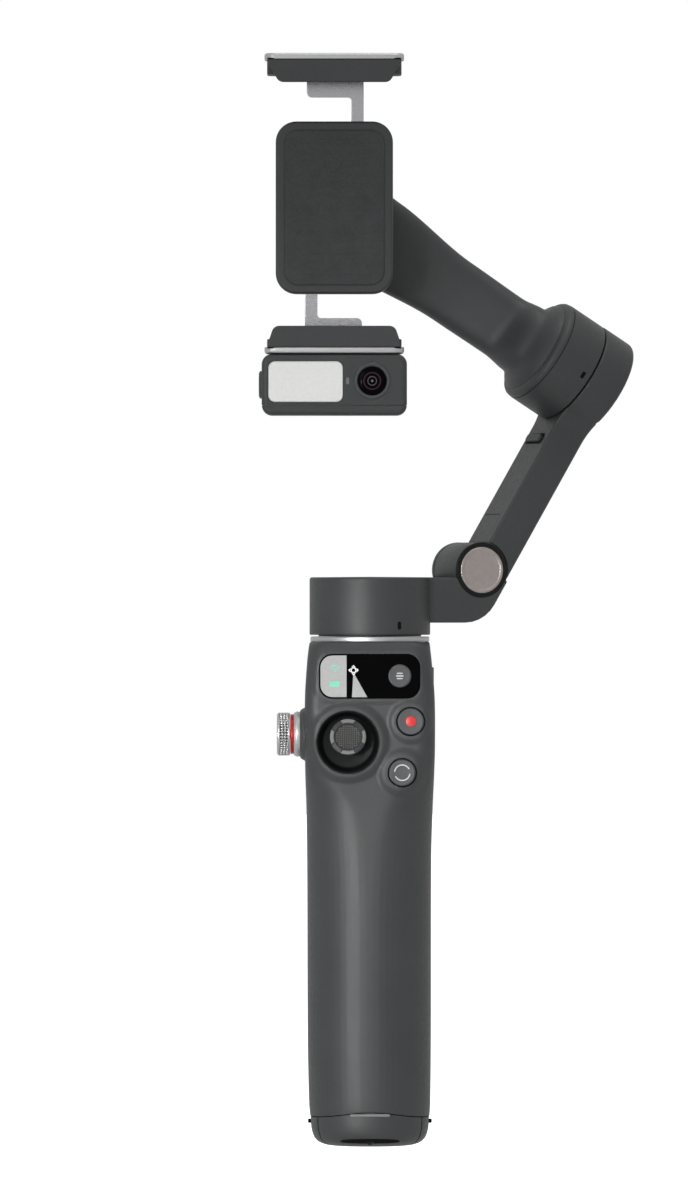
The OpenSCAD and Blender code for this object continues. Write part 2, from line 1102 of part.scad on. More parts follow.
handle_front_shell();
handle_rear_shell();
head_trim_ring();
display_window();
main_board();
battery_cell();
rod_sleeve();
joystick_collar();
wheel_boss();
wheel_red_ring();
usb_socket();
shell_screws();
guide_post();
thread_insert();
trigger_pin();
joystick_yoke();
joystick_stick();
joystick_cap();
record_button();
flip_button();
mode_button();
power_button();
trigger();
wheel_knob();
rod_stage_1();
rod_stage_2();
rod_stage_3();
pan_base();
pan_stator();
pan_bearings();
pan_housing();
pan_shaft();
lower_bracket();
hinge_pin();
hinge_discs();
arm_shell();
arm_cover();
tilt_stator();
tilt_housing();
tilt_shaft();
tilt_arm();
roll_stator();
roll_housing();
roll_shaft();
magnet_plate();
clamp_body();
jaw_pinion();
upper_jaw();
upper_pad();
lower_jaw();
lower_pad();
module_body();
module_light_panel();
module_lens();
module_button();
tripod_carrier();
leg_front();
leg_left();
leg_right();
leg_pins();
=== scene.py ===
"""Looks of the three axis camera gimbal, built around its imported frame.

Every outline is drawn in millimetres in the frame of the part that it belongs to, and turned into metres
when its mesh is made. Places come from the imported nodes' boxes and from the joints.
"""

import json
import math

import bmesh
import bpy
from mathutils import Matrix, Vector


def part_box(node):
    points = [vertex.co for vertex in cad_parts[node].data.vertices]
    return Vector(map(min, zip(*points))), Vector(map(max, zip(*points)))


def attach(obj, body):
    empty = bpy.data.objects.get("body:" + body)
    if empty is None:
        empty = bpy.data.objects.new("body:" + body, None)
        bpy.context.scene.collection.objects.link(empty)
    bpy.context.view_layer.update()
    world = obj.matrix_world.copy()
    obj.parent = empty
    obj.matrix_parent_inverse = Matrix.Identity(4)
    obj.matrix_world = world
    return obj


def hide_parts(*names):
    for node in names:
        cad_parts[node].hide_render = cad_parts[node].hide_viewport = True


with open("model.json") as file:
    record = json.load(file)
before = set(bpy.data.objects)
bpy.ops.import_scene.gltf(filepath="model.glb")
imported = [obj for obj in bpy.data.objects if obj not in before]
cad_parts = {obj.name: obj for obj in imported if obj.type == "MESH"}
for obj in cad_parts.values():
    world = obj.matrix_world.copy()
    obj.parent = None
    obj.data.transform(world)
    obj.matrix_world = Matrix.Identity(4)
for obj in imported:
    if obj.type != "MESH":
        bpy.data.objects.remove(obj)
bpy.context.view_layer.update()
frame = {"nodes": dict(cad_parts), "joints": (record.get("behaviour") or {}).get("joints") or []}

MM = 0.001
TURN = 2 * math.pi
JOINTS = {j["name"]: j for j in frame["joints"]}


# ---------------------------------------------------------------- places


def node_box(node):
    """A CAD node's lowest and highest corners, in millimetres."""
    low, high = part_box(node)
    return low / MM, high / MM


def middle(node):
    low, high = node_box(node)
    return (low + high) / 2


def joint_place(name):
    return Vector(JOINTS[name]["pos_m"]) / MM


def frame_matrix(origin, x_axis, y_axis, z_axis):
    m = Matrix((x_axis, y_axis, z_axis)).transposed().to_4x4()
    m.translation = origin
    return m


X, Y, Z = Vector((1, 0, 0)), Vector((0, 1, 0)), Vector((0, 0, 1))


def front(x, y, z):
    """Frame of something on the front: its X is across, its Y is up and its Z comes towards the viewer."""
    return frame_matrix(Vector((x, y, z)), X, Z, -Y)


def leftward(x, y, z):
    """Frame of something on the left side: its Z points to the left."""
    return frame_matrix(Vector((x, y, z)), -Y, Z, -X)


def ahead(place):
    """Frame straight in front of a place."""
    return front(place.x, 0, place.z)


def beside(place):
    """Frame straight to the left of a place."""
    return leftward(0, place.y, place.z)


HALF_TURN = Matrix.Rotation(math.pi, 4, "Y")
FOLD_AXIS = Vector(JOINTS["arm_fold"]["axis"])
TILT_AXIS = Vector(JOINTS["tilt"]["axis"])
HINGE = joint_place("arm_fold")
PAN_OUT = Vector((HINGE.x, HINGE.y, 0)).normalized()
PAN = frame_matrix(Vector((0, 0, 0)), PAN_OUT, -FOLD_AXIS, Z)
ARM = frame_matrix(HINGE, (-FOLD_AXIS).cross(TILT_AXIS), -FOLD_AXIS, TILT_AXIS)
TILT = frame_matrix(joint_place("tilt"), (-FOLD_AXIS).cross(TILT_AXIS), -FOLD_AXIS, TILT_AXIS)
CLAMP = middle("clamp_body")
CLAMP.y = node_box("clamp_body")[0].y
HINGE_U = math.hypot(HINGE.x, HINGE.y)
ARM_LEN = (ARM.inverted() @ joint_place("tilt")).x
ARM_IN = (ARM.inverted() @ joint_place("tilt")).z


# ---------------------------------------------------------------- outlines


def arc(cx, cy, r, start, end, steps):
    """Points along an arc, in degrees."""
    return [
        (cx + r * math.cos(math.radians(a)), cy + r * math.sin(math.radians(a)))
        for a in (start + (end - start) * i / steps for i in range(steps + 1))
    ]


def fillet(corners, steps=6, closed=True):
    """An outline from corners (x, y, radius), each rounded by its radius."""
    n = len(corners)
    points = []
    for i, (x, y, r) in enumerate(corners):
        at_end = not closed and i in (0, n - 1)
        if r <= 0 or at_end:
            points.append((x, y))
            continue
        p = Vector((x, y))
        a = (Vector(corners[i - 1][:2]) - p).normalized()
        b = (Vector(corners[(i + 1) % n][:2]) - p).normalized()
        half = a.angle(b) / 2
        if half > math.pi / 2 - 0.02:
            points.append((x, y))
            continue
        reach = r / math.tan(half)
        centre = p + (a + b).normalized() * (r / math.sin(half))
        va, vb = p + a * reach - centre, p + b * reach - centre
        start = math.atan2(va.y, va.x)
        sweep = math.atan2(va.cross(vb), va.dot(vb))
        count = max(2, round(steps * abs(sweep) / (math.pi / 2)))
        for k in range(count + 1):
            t = start + sweep * k / count
            points.append((centre.x + r * math.cos(t), centre.y + r * math.sin(t)))
    return points


def round_box(w, h, r, steps=8):
    return fillet(
        [(w / 2, -h / 2, r), (w / 2, h / 2, r), (-w / 2, h / 2, r), (-w / 2, -h / 2, r)], steps
    )


def circle(r, n=64):
    return [(r * math.cos(TURN * i / n), r * math.sin(TURN * i / n)) for i in range(n)]


def resample(points, n):
    """n points spaced evenly along a closed outline, from its first point."""
    loop = [Vector(p) for p in points] + [Vector(points[0])]
    lengths = [0.0]
    for a, b in zip(loop, loop[1:]):
        lengths.append(lengths[-1] + (b - a).length)
    out, k = [], 0
    for i in range(n):
        s = lengths[-1] * i / n
        while lengths[k + 1] < s:
            k += 1
        t = (s - lengths[k]) / max(lengths[k + 1] - lengths[k], 1e-9)
        out.append(tuple(loop[k].lerp(loop[k + 1], t)))
    return out


def signed_area(points):
    return sum(a[0] * b[1] - b[0] * a[1] for a, b in zip(points, points[1:] + points[:1])) / 2


def inset(points, d):
    """A closed outline moved inwards by d."""
    turn = 1 if signed_area(points) > 0 else -1
    out = []
    n = len(points)
    for i in range(n):
        p = Vector(points[i])
        a = (p - Vector(points[i - 1])).normalized()
        b = (Vector(points[(i + 1) % n]) - p).normalized()
        na, nb = Vector((-a.y, a.x)) * turn, Vector((-b.y, b.x)) * turn
        bisector = na + nb
        scale = 2 / max(bisector.length_squared, 0.5)
        out.append(tuple(p + bisector * (d * scale)))
    return out


# ---------------------------------------------------------------- meshes

SMOOTH_ANGLE = math.radians(32)
# The flat faces get one more ring of points, this far inside their rounded edges
SUPPORT = 0.06


def put(name, data):
    """A new object in the scene."""
    item = bpy.data.objects.new(name, data)
    bpy.context.scene.collection.objects.link(item)
    return item


def make(name, shape, look, body, place=None, replaces=()):
    """An object from a shape's points and faces, in millimetres in the frame `place`, riding on a body."""
    verts, faces = shape
    place = place or Matrix.Identity(4)
    mesh = bpy.data.meshes.new(name)
    mesh.from_pydata([(place @ Vector(v)) * MM for v in verts], [], faces)
    mesh.validate()
    mesh.update()
    piece = put(name, mesh)
    mesh.materials.append(look)
    face_outwards(piece)
    smooth(piece)
    if body:
        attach(piece, body)
    if replaces:
        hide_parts(*replaces)
    return piece


def face_outwards(piece):
    bm = bmesh.new()
    bm.from_mesh(piece.data)
    bmesh.ops.recalc_face_normals(bm, faces=bm.faces)
    bm.to_mesh(piece.data)
    bm.free()


def smooth(piece, angle=SMOOTH_ANGLE):
    piece.data.polygons.foreach_set("use_smooth", [True] * len(piece.data.polygons))
    piece.data.set_sharp_from_angle(angle=angle)
    piece.data.update()


def loft(rings, caps=True, wrap=False):
    """Points and faces of a skin over rings of equally many points."""
    n = len(rings[0])
    verts = [p for ring in rings for p in ring]
    faces = []
    count = len(rings)
    for i in range(count if wrap else count - 1):
        j = (i + 1) % count
        for k in range(n):
            m = (k + 1) % n
            faces.append((i * n + k, i * n + m, j * n + m, j * n + k))
    if caps and not wrap:
        faces.append(tuple(reversed(range(n))))
        faces.append(tuple((count - 1) * n + k for k in range(n)))
    return verts, faces


def slab(points, z0, z1, r0=0.3, r1=0.3, steps=4):
    """A plate with round edges: the outline from z0 to z1, rounded by r0 below and r1 above."""
    levels = [(r0 + SUPPORT, z0)]
    for k in range(steps + 1):
        a = math.pi / 2 * k / steps
        levels.append((r0 * (1 - math.sin(a)), z0 + r0 * (1 - math.cos(a))))
    for k in range(steps + 1):
        a = math.pi / 2 * k / steps
        levels.append((r1 * (1 - math.cos(a)), z1 - r1 * (1 - math.sin(a))))
    levels.append((r1 + SUPPORT, z1))
    return loft([[(x, y, z) for x, y in inset(points, d)] for d, z in levels])


def lathe(profile, n=72, wrap=False):
    """A turned solid from a profile of (radius, z); wrap joins the profile into a ring."""
    rings = [[(x, y, z) for x, y in circle(max(r, 0.01), n)] for r, z in profile]
    return loft(rings, caps=not wrap, wrap=wrap)


def turned(corners, n=72, wrap=False, steps=4):
    """A turned solid from corners (radius, z, edge radius)."""
    return lathe(fillet(corners, steps, closed=wrap), n, wrap)


def cut(piece, *cutters, operation="DIFFERENCE"):
    """Cuts the cutters out of the piece, or keeps only what lies inside them, and removes them."""
    for cutter in cutters:
        tool = piece.modifiers.new("cut", "BOOLEAN")
        tool.operation = operation
        tool.solver = "MANIFOLD"
        tool.object = cutter
    bpy.context.view_layer.update()
    graph = bpy.context.evaluated_depsgraph_get()
    mesh = bpy.data.meshes.new_from_object(piece.evaluated_get(graph))
    piece.modifiers.clear()
    piece.data = mesh
    for cutter in cutters:
        bpy.data.objects.remove(cutter)
    smooth(piece)


# ---------------------------------------------------------------- materials


class Nodes:
    """Short names for building a material's node tree."""

    def __init__(self, name):
        self.material = bpy.data.materials.new(name)
        self.material.use_nodes = True
        self.tree = self.material.node_tree
        self.shader = self.tree.nodes["Principled BSDF"]
        self.place = self.add("ShaderNodeTexCoord").outputs["Object"]

    def add(self, kind, **values):
        node = self.tree.nodes.new(kind)
        for key, value in values.items():
            setattr(node, key, value)
        return node

    def link(self, a, b):
        self.tree.links.new(a, b)

    def noise(self, scale, detail=3.0, stretch=None):
        """Noise in object space; scale is in cells per metre."""
        node = self.add("ShaderNodeTexNoise")
        node.inputs["Scale"].default_value = scale
        node.inputs["Detail"].default_value = detail
        source = self.place
        if stretch:
            mapping = self.add("ShaderNodeMapping")
            mapping.inputs["Scale"].default_value = stretch
            self.link(self.place, mapping.inputs["Vector"])
            source = mapping.outputs["Vector"]
        self.link(source, node.inputs["Vector"])
        return node.outputs["Fac"]

    def spread(self, value, low, high):
        """Maps a texture from 0.3..0.7 to low..high."""
        node = self.add("ShaderNodeMapRange")
        node.inputs["From Min"].default_value = 0.3
        node.inputs["From Max"].default_value = 0.7
        node.inputs["To Min"].default_value = low
        node.inputs["To Max"].default_value = high
        self.link(value, node.inputs["Value"])
        return node.outputs["Result"]

    def colours(self, value, dark_one, light_one):
        node = self.add("ShaderNodeValToRGB")
        node.color_ramp.elements[0].position = 0.3
        node.color_ramp.elements[1].position = 0.7
        node.color_ramp.elements[0].color = (*dark_one, 1)
        node.color_ramp.elements[1].color = (*light_one, 1)
        self.link(value, node.inputs["Fac"])
        return node.outputs["Color"]

    def bump(self, height, distance, strength=1.0, after=None):
        node = self.add("ShaderNodeBump")
        node.inputs["Distance"].default_value = distance
        node.inputs["Strength"].default_value = strength
        self.link(height, node.inputs["Height"])
        if after:
            self.link(after, node.inputs["Normal"])
        return node.outputs["Normal"]


def tint(colour, amount):
    return tuple(max(0.0, min(1.0, c * amount)) for c in colour)


def plastic(name, colour, rough=0.45, grain=0.5, shade=0.1, coat=0.0, shine=0.5):
    """Moulded plastic: a fine spark-eroded grain, faint colour drift and softly varying gloss."""
    m = Nodes(name)
    broad = m.noise(60, 2)
    fine = m.noise(5200, 2)
    m.link(m.colours(broad, tint(colour, 1 - shade), tint(colour, 1 + shade)),
           m.shader.inputs["Base Color"])
    m.link(m.spread(m.noise(900, 4), rough - 0.05, rough + 0.06), m.shader.inputs["Roughness"])
    m.link(m.bump(fine, 0.00003 * grain, 0.6), m.shader.inputs["Normal"])
    m.shader.inputs["Coat Weight"].default_value = coat
    m.shader.inputs["Coat Roughness"].default_value = 0.12
    m.shader.inputs["Specular IOR Level"].default_value = shine
    return m.material


def metal(name, colour, rough=0.28, stretch=(1, 1, 40), strength=0.25, scale=700):
    """Satin metal with fine parallel tool marks; stretch sets their direction."""
    m = Nodes(name)
    marks = m.noise(scale, 4, stretch)
    m.link(m.colours(marks, tint(colour, 0.92), tint(colour, 1.05)), m.shader.inputs["Base Color"])
    m.link(m.spread(marks, rough - 0.06, rough + 0.08), m.shader.inputs["Roughness"])
    m.link(m.bump(marks, 0.00002, strength), m.shader.inputs["Normal"])
    m.shader.inputs["Metallic"].default_value = 1.0
    return m.material


def rubber(name, colour):
    """Soft matt rubber with a visible pebble grain."""
    m = Nodes(name)
    cells = m.add("ShaderNodeTexVoronoi")
    cells.inputs["Scale"].default_value = 2600
    m.link(m.place, cells.inputs["Vector"])
    m.link(m.colours(m.noise(200, 3), tint(colour, 0.85), tint(colour, 1.15)),
           m.shader.inputs["Base Color"])
    m.link(m.spread(m.noise(1500, 3), 0.55, 0.72), m.shader.inputs["Roughness"])
    m.link(m.bump(cells.outputs["Distance"], 0.00004, 0.5), m.shader.inputs["Normal"])
    return m.material


def glossy(name, colour, rough=0.06, shine=0.03):
    """Glossy black cover glass with a trace of smudges."""
    m = Nodes(name)
    m.link(m.colours(m.noise(90, 3), tint(colour, 0.8), tint(colour, 1.2)), m.shader.inputs["Base Color"])
    m.link(m.spread(m.noise(140, 5), rough, rough + 0.08), m.shader.inputs["Roughness"])
    m.shader.inputs["Specular IOR Level"].default_value = shine
    return m.material


def lit(name, colour, strength):
    """A mark in its own colour with a little light of its own: on the status window this is the screen's
    light, on the printed key marks a painted glow.
    """
    m = Nodes(name)
    tone = m.colours(m.noise(1200, 2), tint(colour, 0.93), colour)
    m.link(tone, m.shader.inputs["Base Color"])
    m.link(tone, m.shader.inputs["Emission Color"])
    m.shader.inputs["Emission Strength"].default_value = strength
    m.shader.inputs["Roughness"].default_value = 0.4
    return m.material


SHELL = plastic("shell_plastic", (0.022, 0.0235, 0.0245), rough=0.50)
SHELL_DARK = plastic("shell_dark", (0.014, 0.015, 0.016), rough=0.54)
KEY = plastic("key_plastic", (0.036, 0.038, 0.040), rough=0.5, grain=0.7)
# Near-black: the real colour of the gaskets, seam webs, dome and side nubs, and painted shade on the
# patches for the slots, knurl pits, catch recess and foot opening
BLACK_AND_PAINTED_SHADE = plastic("black_and_painted_shade", (0.002, 0.002, 0.002), rough=0.7, shine=0.08)
WELL_BLACK = plastic("well_black", (0.004, 0.0045, 0.0045), rough=0.5, shine=0.15)
SATIN = metal("satin_aluminium", (0.46, 0.46, 0.46), rough=0.42, stretch=(1, 1, 1), strength=0.03,
              scale=2600)
HINGE_COVER = metal("hinge_cover_metal", (0.36, 0.32, 0.305), rough=0.40, stretch=(1, 1, 1))
STEEL = metal("ground_steel", (0.42, 0.42, 0.44), rough=0.26, stretch=(1, 1, 30))
RED = metal("red_anodised", (0.45, 0.03, 0.03), rough=0.38)
RUBBER = rubber("pad_rubber", (0.020, 0.021, 0.022))
GLASS_BLACK = glossy("cover_glass", (0.001, 0.001, 0.0012))
# Violet ring inside the lens: a painted reflection of its coating
LENS_PAINTED_REFLECTION = glossy("lens_painted_reflection", (0.03, 0.008, 0.02), 0.1, 0.2)
PANEL_WHITE = lit("light_panel_diffuser", (0.57, 0.57, 0.565), 0.23)
SCREEN_GREY = lit("status_screen_grey", (0.26, 0.26, 0.26), 0.35)
MINT = lit("status_mint", (0.13, 0.45, 0.30), 0.3)
MARK_WHITE = lit("mark_white", (0.6, 0.6, 0.6), 0.4)
# Printed red dot on the record key, given a faint painted glow
RED_PRINT_PAINTED_GLOW = lit("mark_red_painted_glow", (0.45, 0.013, 0.013), 0.15)
# Printed grey marks on the flip and mode keys, given a faint painted glow
GREY_PRINT_PAINTED_GLOW = lit("mark_grey_painted_glow", (0.45, 0.45, 0.45), 0.12)
KNURL = plastic("cap_knurl", (0.075, 0.075, 0.066), rough=0.5)
RIDGE = plastic("cap_ridge", (0.13, 0.13, 0.13), rough=0.5)
BRASS = metal("thread_brass", (0.62, 0.45, 0.2), rough=0.3)
COPPER = metal("winding_copper", (0.6, 0.28, 0.13), rough=0.35, stretch=(1, 1, 60), strength=0.6)
BOARD = plastic("board_green", (0.02, 0.12, 0.06), rough=0.3, coat=0.4)
CELL = plastic("cell_sleeve", (0.05, 0.16, 0.42), rough=0.3, coat=0.3)

CAD_LOOKS = {
    "main_board": BOARD, "battery_cell": CELL, "rod_sleeve": STEEL, "rod_stage_1": STEEL,
    "rod_stage_2": STEEL, "rod_stage_3": STEEL, "usb_socket": STEEL, "shell_screws": STEEL,
    "trigger_pin": STEEL, "guide_post": SHELL_DARK, "thread_insert": BRASS, "joystick_yoke": STEEL,
    "pan_base": SHELL_DARK, "pan_stator": COPPER, "pan_bearings": STEEL, "pan_shaft": STEEL,
    "hinge_pin": STEEL, "tilt_stator": COPPER, "tilt_shaft": STEEL, "roll_stator": COPPER,
    "roll_shaft": STEEL, "jaw_pinion": STEEL, "leg_pins": STEEL, "tripod_carrier": SHELL_DARK,
}
for node, look in CAD_LOOKS.items():
    mesh = frame["nodes"][node].data
    mesh.materials.clear()
    mesh.materials.append(look)


# ---------------------------------------------------------------- handle

SPLIT_Y = node_box("handle_front_shell")[1].y
HANDLE_TOP = node_box("handle_rear_shell")[1].z
WALL = 1.7
WELL = middle("joystick_collar")
RECORD, FLIP, MODE = middle("record_button"), middle("flip_button"), middle("mode_button")
WINDOW = middle("display_window")
WHEEL = joint_place("wheel_turn")
JOY = joint_place("joystick_lift")

# Height, left and right half widths, front and rear depth, front and rear corner radii
SECTIONS = [
    (8.8, 17.3, 17.3, 17.4, 17.4, 16.6, 14.5),
    (12, 17.6, 17.5, 17.7, 17.7, 16.8, 14.5),
    (30, 18.0, 17.7, 18.0, 18.0, 16.9, 14.5),
    (83, 18.2, 17.8, 18.0, 18.0, 16.6, 14.5),
    (98, 18.4, 18.2, 18.0, 18.1, 14.0, 14.5),
    (108, 18.7, 18.6, 18.5, 18.4, 8.0, 14),
    (116, 18.8, 18.8, 18.75, 18.6, 5.0, 14),
    (130, 18.8, 18.7, 18.75, 18.6, 4.0, 14),
    (140, 18.2, 17.9, 18.7, 18.2, 4.4, 14),
    (144.6, 17.7, 17.4, 18.3, 17.8, 5.5, 14),
    (146.3, 17.35, 17.2, 17.6, 17.4, 7.5, 14),
]
AROUND = 288
HALF_SEAM = 0.06
# Depths between which a cutter goes through the front wall, and the radii of the round openings
THROUGH = (8, 30)
WELL_HOLE = 9.2
KEY_HOLE = 4.25
SCREW_HOLE = 2.1


def ease(t):
    """Goes smoothly from 0 to 1."""
    return t * t * (3 - 2 * t)


def section_at(z):
    """The handle's measures at a height, passing smoothly through SECTIONS."""
    rows = SECTIONS
    k = max(i for i in range(len(rows) - 1) if rows[i][0] <= max(z, rows[0][0]))
    a, b = rows[k], rows[k + 1]
    before, after = rows[max(k - 1, 0)], rows[min(k + 2, len(rows) - 1)]
    span = b[0] - a[0]
    t = (z - a[0]) / span
    out = []
    for c in range(1, 7):
        slope_a = (b[c] - before[c]) / (b[0] - before[0])
        slope_b = (after[c] - a[c]) / (after[0] - a[0])
        h1, h2 = 2 * t**3 - 3 * t**2 + 1, t**3 - 2 * t**2 + t
        h3, h4 = -2 * t**3 + 3 * t**2, t**3 - t**2
        out.append(h1 * a[c] + h2 * span * slope_a + h3 * b[c] + h4 * span * slope_b)
    return out


def handle_ring(z, thinner=0.0, n=AROUND):
    """The outline of the handle at a height, made thinner all round."""
    left, right, near, far, r_near, r_far = section_at(z)
    left, right, near, far = left - thinner, right - thinner, near - thinner, far - thinner
    r_near, r_far = max(r_near - thinner, 1.5), max(r_far - thinner, 2)
    points = fillet([(right, far, r_far), (-left, far, r_far), (-left, -near, r_near),
                     (right, -near, r_near)], 14)
    # start at the middle of the rear so that rings match from level to level
    start = max(range(len(points)), key=lambda i: (points[i][1] - abs(points[i][0]) * 1e-3))
    return resample(points[start:] + points[:start], n)


def raised(x, z):
    """How far the front face stands out around the controls: soft collars that blend into the face."""

    def collar(cx, cz, r, fade, height):
        d = math.hypot(x - cx, z - cz)
        return height * (1 - ease(min(1, max(0, (d - r) / fade))))

    well = collar(WELL.x, WELL.z, 9.9, 2.4, 0.9)
    keys = max(collar(RECORD.x, RECORD.z, 5.0, 2.0, 0.75), collar(FLIP.x, FLIP.z, 5.0, 2.6, 0.85))
    dx = max(0, abs(x - WINDOW.x) - 11.2)
    dz = max(0, abs(z - WINDOW.z) - 3.0)
    rim = 0.3 * (1 - ease(min(1, max(0, (math.hypot(dx, dz) - 4.2) / 1.0))))
    return max(well, keys, rim)


def seam_height(x, y):
    """The grip's lower edge bows up a little in front."""
    return 8.9 + (1.5 if y < 0 else 0.6) * math.cos(min(abs(x), 17) / 17 * math.pi / 2) ** 2


def handle_skin(thinner, low, high, step):
    """Rings of the skin between two heights, with the raised collars in front."""
    rings = []
    count = max(2, round((high - low) / step))
    for i in range(count + 1):
        z = low + (high - low) * i / count
        ring = []
        for x, y in handle_ring(min(z, HANDLE_TOP), thinner):
            lift = 0.0
            if not thinner and y < -8:
                lift = raised(x, z) * ease(min(1, (-8 - y) / 6))
            zz = z
            if not thinner and z < 20:
                zz = seam_height(x, y) + (z - low) * (20 - seam_height(x, y)) / (20 - low)
            ring.append((x, y - lift, zz))
        rings.append(ring)
    return rings


def handle_casing():
    """The whole casing: its outer skin, its top edge and its inner wall."""
    rings = handle_skin(0, 8.8, 20, 1.4)
    rings += handle_skin(0, 20, 98, 3)[1:]
    rings += handle_skin(0, 98, HANDLE_TOP - 0.5, 0.5)[1:]
    # a small round edge at the top, then down the inner wall
    for drop, thin in ((0.15, 0.15), (0.0, 0.5), (0.0, WALL)):
        rings.append([(x, y, HANDLE_TOP - drop) for x, y in handle_ring(HANDLE_TOP - 0.01, thin)])
    for i in range(21):
        z = HANDLE_TOP - 1 - (HANDLE_TOP - 12) * i / 20
        rings.append([(x, y, z) for x, y in handle_ring(z, WALL)])
    rings.append([(x, y, seam_height(x, y)) for x, y in handle_ring(9, WALL)])
    rings.append([(x, y, seam_height(x, y)) for x, y in handle_ring(8.9, 0.35)])
    return loft(rings, wrap=True)


def tool(place, r, low, high, n=64):
    """A plain cutter along Z of a frame."""
    return make("tool", lathe([(r, low), (r, high)], n), SHELL, None, place)


def plate_tool(place, points, low, high):
    """A cutter with an outline, along Z of a frame."""
    return make("tool", loft([[(x, y, z) for x, y in points] for z in (low, high)]), SHELL, None, place)


def half_space(front_side):
    """All that lies before or behind the joint between the casings."""
    side = -1 if front_side else 1
    edge, far = SPLIT_Y + side * HALF_SEAM, 60
    points = [(-far, edge), (far, edge), (far, side * far), (-far, side * far)]
    return plate_tool(None, points, -5, 200)


def handle_front():
    """Front casing with the openings for its controls."""
    piece = make("handle_front_casing", handle_casing(), SHELL, "handle", replaces=["handle_front_shell"])
    cut(piece, half_space(True), operation="INTERSECT")
    cut(
        piece,
        tool(ahead(WELL), WELL_HOLE, *THROUGH),
        tool(ahead(RECORD), KEY_HOLE, *THROUGH),
        tool(ahead(FLIP), KEY_HOLE, *THROUGH),
        plate_tool(ahead(WINDOW), round_box(29.3, 13.0, 3.9), *THROUGH),
        tool(beside(WHEEL), 8.0, 10, 30),
        plate_tool(leftward(0, -6, 134.4) @ HALF_TURN, round_box(3.5, 9.3, 1.7), 12, 30),
    )


def handle_rear():
    """Rear casing with the openings for the trigger, the socket and the screws."""
    piece = make("handle_rear_casing", handle_casing(), SHELL, "handle", replaces=["handle_rear_shell"])
    cut(piece, half_space(False), operation="INTERSECT")
    low, high = node_box("trigger")
    port = middle("usb_socket")
    screws = [(x, z) for x in (-13, 13) for z in (62, 139)]
    cut(
        piece,
        plate_tool(front(0, 0, (low.z + high.z) / 2), round_box(12.9, high.z - low.z + 1.6, 2.2), -30, -14),
        plate_tool(beside(port) @ HALF_TURN, round_box(3.9, 9.6, 1.9), 12, 30),
        *[tool(front(x, 0, z), SCREW_HOLE, -30, -12.4, 32) for x, z in screws],
    )


def seam_webs():
    """Dark webs in the joint between the casings, so that no light shows through it."""
    for name, column, side in (("left", 0, -1), ("right", 1, 1)):
        rings = []
        for z in [12, *range(20, 100, 10), *range(100, 146, 5)]:
            half = section_at(z)[column]
            rings.append([(side * (half - d), SPLIT_Y + t, z)
                          for d, t in ((0.7, -0.055), (0.7, 0.055), (2.1, 0.055), (2.1, -0.055))])
        make(f"seam_web_{name}", loft(rings), BLACK_AND_PAINTED_SHADE, "handle")


def guide_frame():
    """The inner guide of the rods, trimmed to the inside of the grip's wall."""
    piece = put("guide_frame", frame["nodes"]["guide_post"].data.copy())
    bm = bmesh.new()
    bm.from_mesh(piece.data)
    bmesh.ops.remove_doubles(bm, verts=bm.verts, dist=2e-6)
    bm.to_mesh(piece.data)
    bm.free()
    levels = [0, 9, *range(20, 100, 10), *range(100, 146, 3), HANDLE_TOP - 0.1]
    inside = loft([[(x, y, z) for x, y in handle_ring(min(max(z, 9), HANDLE_TOP - 0.1), WALL + 0.1)]
                   for z in levels])
    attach(piece, "handle")
    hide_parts("guide_post")
    cut(piece, make("tool", inside, SHELL, None), operation="INTERSECT")


handle_front()
handle_rear()
guide_frame()
seam_webs()


def head_trim():
    """The bright ring at the top of the handle."""
    low, high = node_box("head_trim_ring")
    make("head_trim", turned([(15.5, low.z, 0), (17.25, low.z, 0.12), (17.25, high.z, 0.35),
                              (15.5, high.z, 0.15)], 128, wrap=True), SATIN, "handle",
         replaces=["head_trim_ring"])


def mark(name, place, points, height, look, body, thick=0.06):
    """A thin printed mark on a surface at `height` of its frame."""
    return make(name, slab(points, height - 0.3, height + thick, 0.02, 0.02, 1), look, body, place)


def ring_mark(name, place, r_in, r_out, start, end, height, look, body, thick=0.06):
    """A printed arc."""
    points = arc(0, 0, r_out, start, end, 24) + arc(0, 0, r_in, end, start, 24)
    return mark(name, place, points, height, look, body, thick=thick)


def moved(points, dx, dy):
    return [(x + dx, y + dy) for x, y in points]


def turned_by(points, degrees):
    c, s = math.cos(math.radians(degrees)), math.sin(math.radians(degrees))
    return [(x * c - y * s, x * s + y * c) for x, y in points]


GLASS_TOP = 18.98


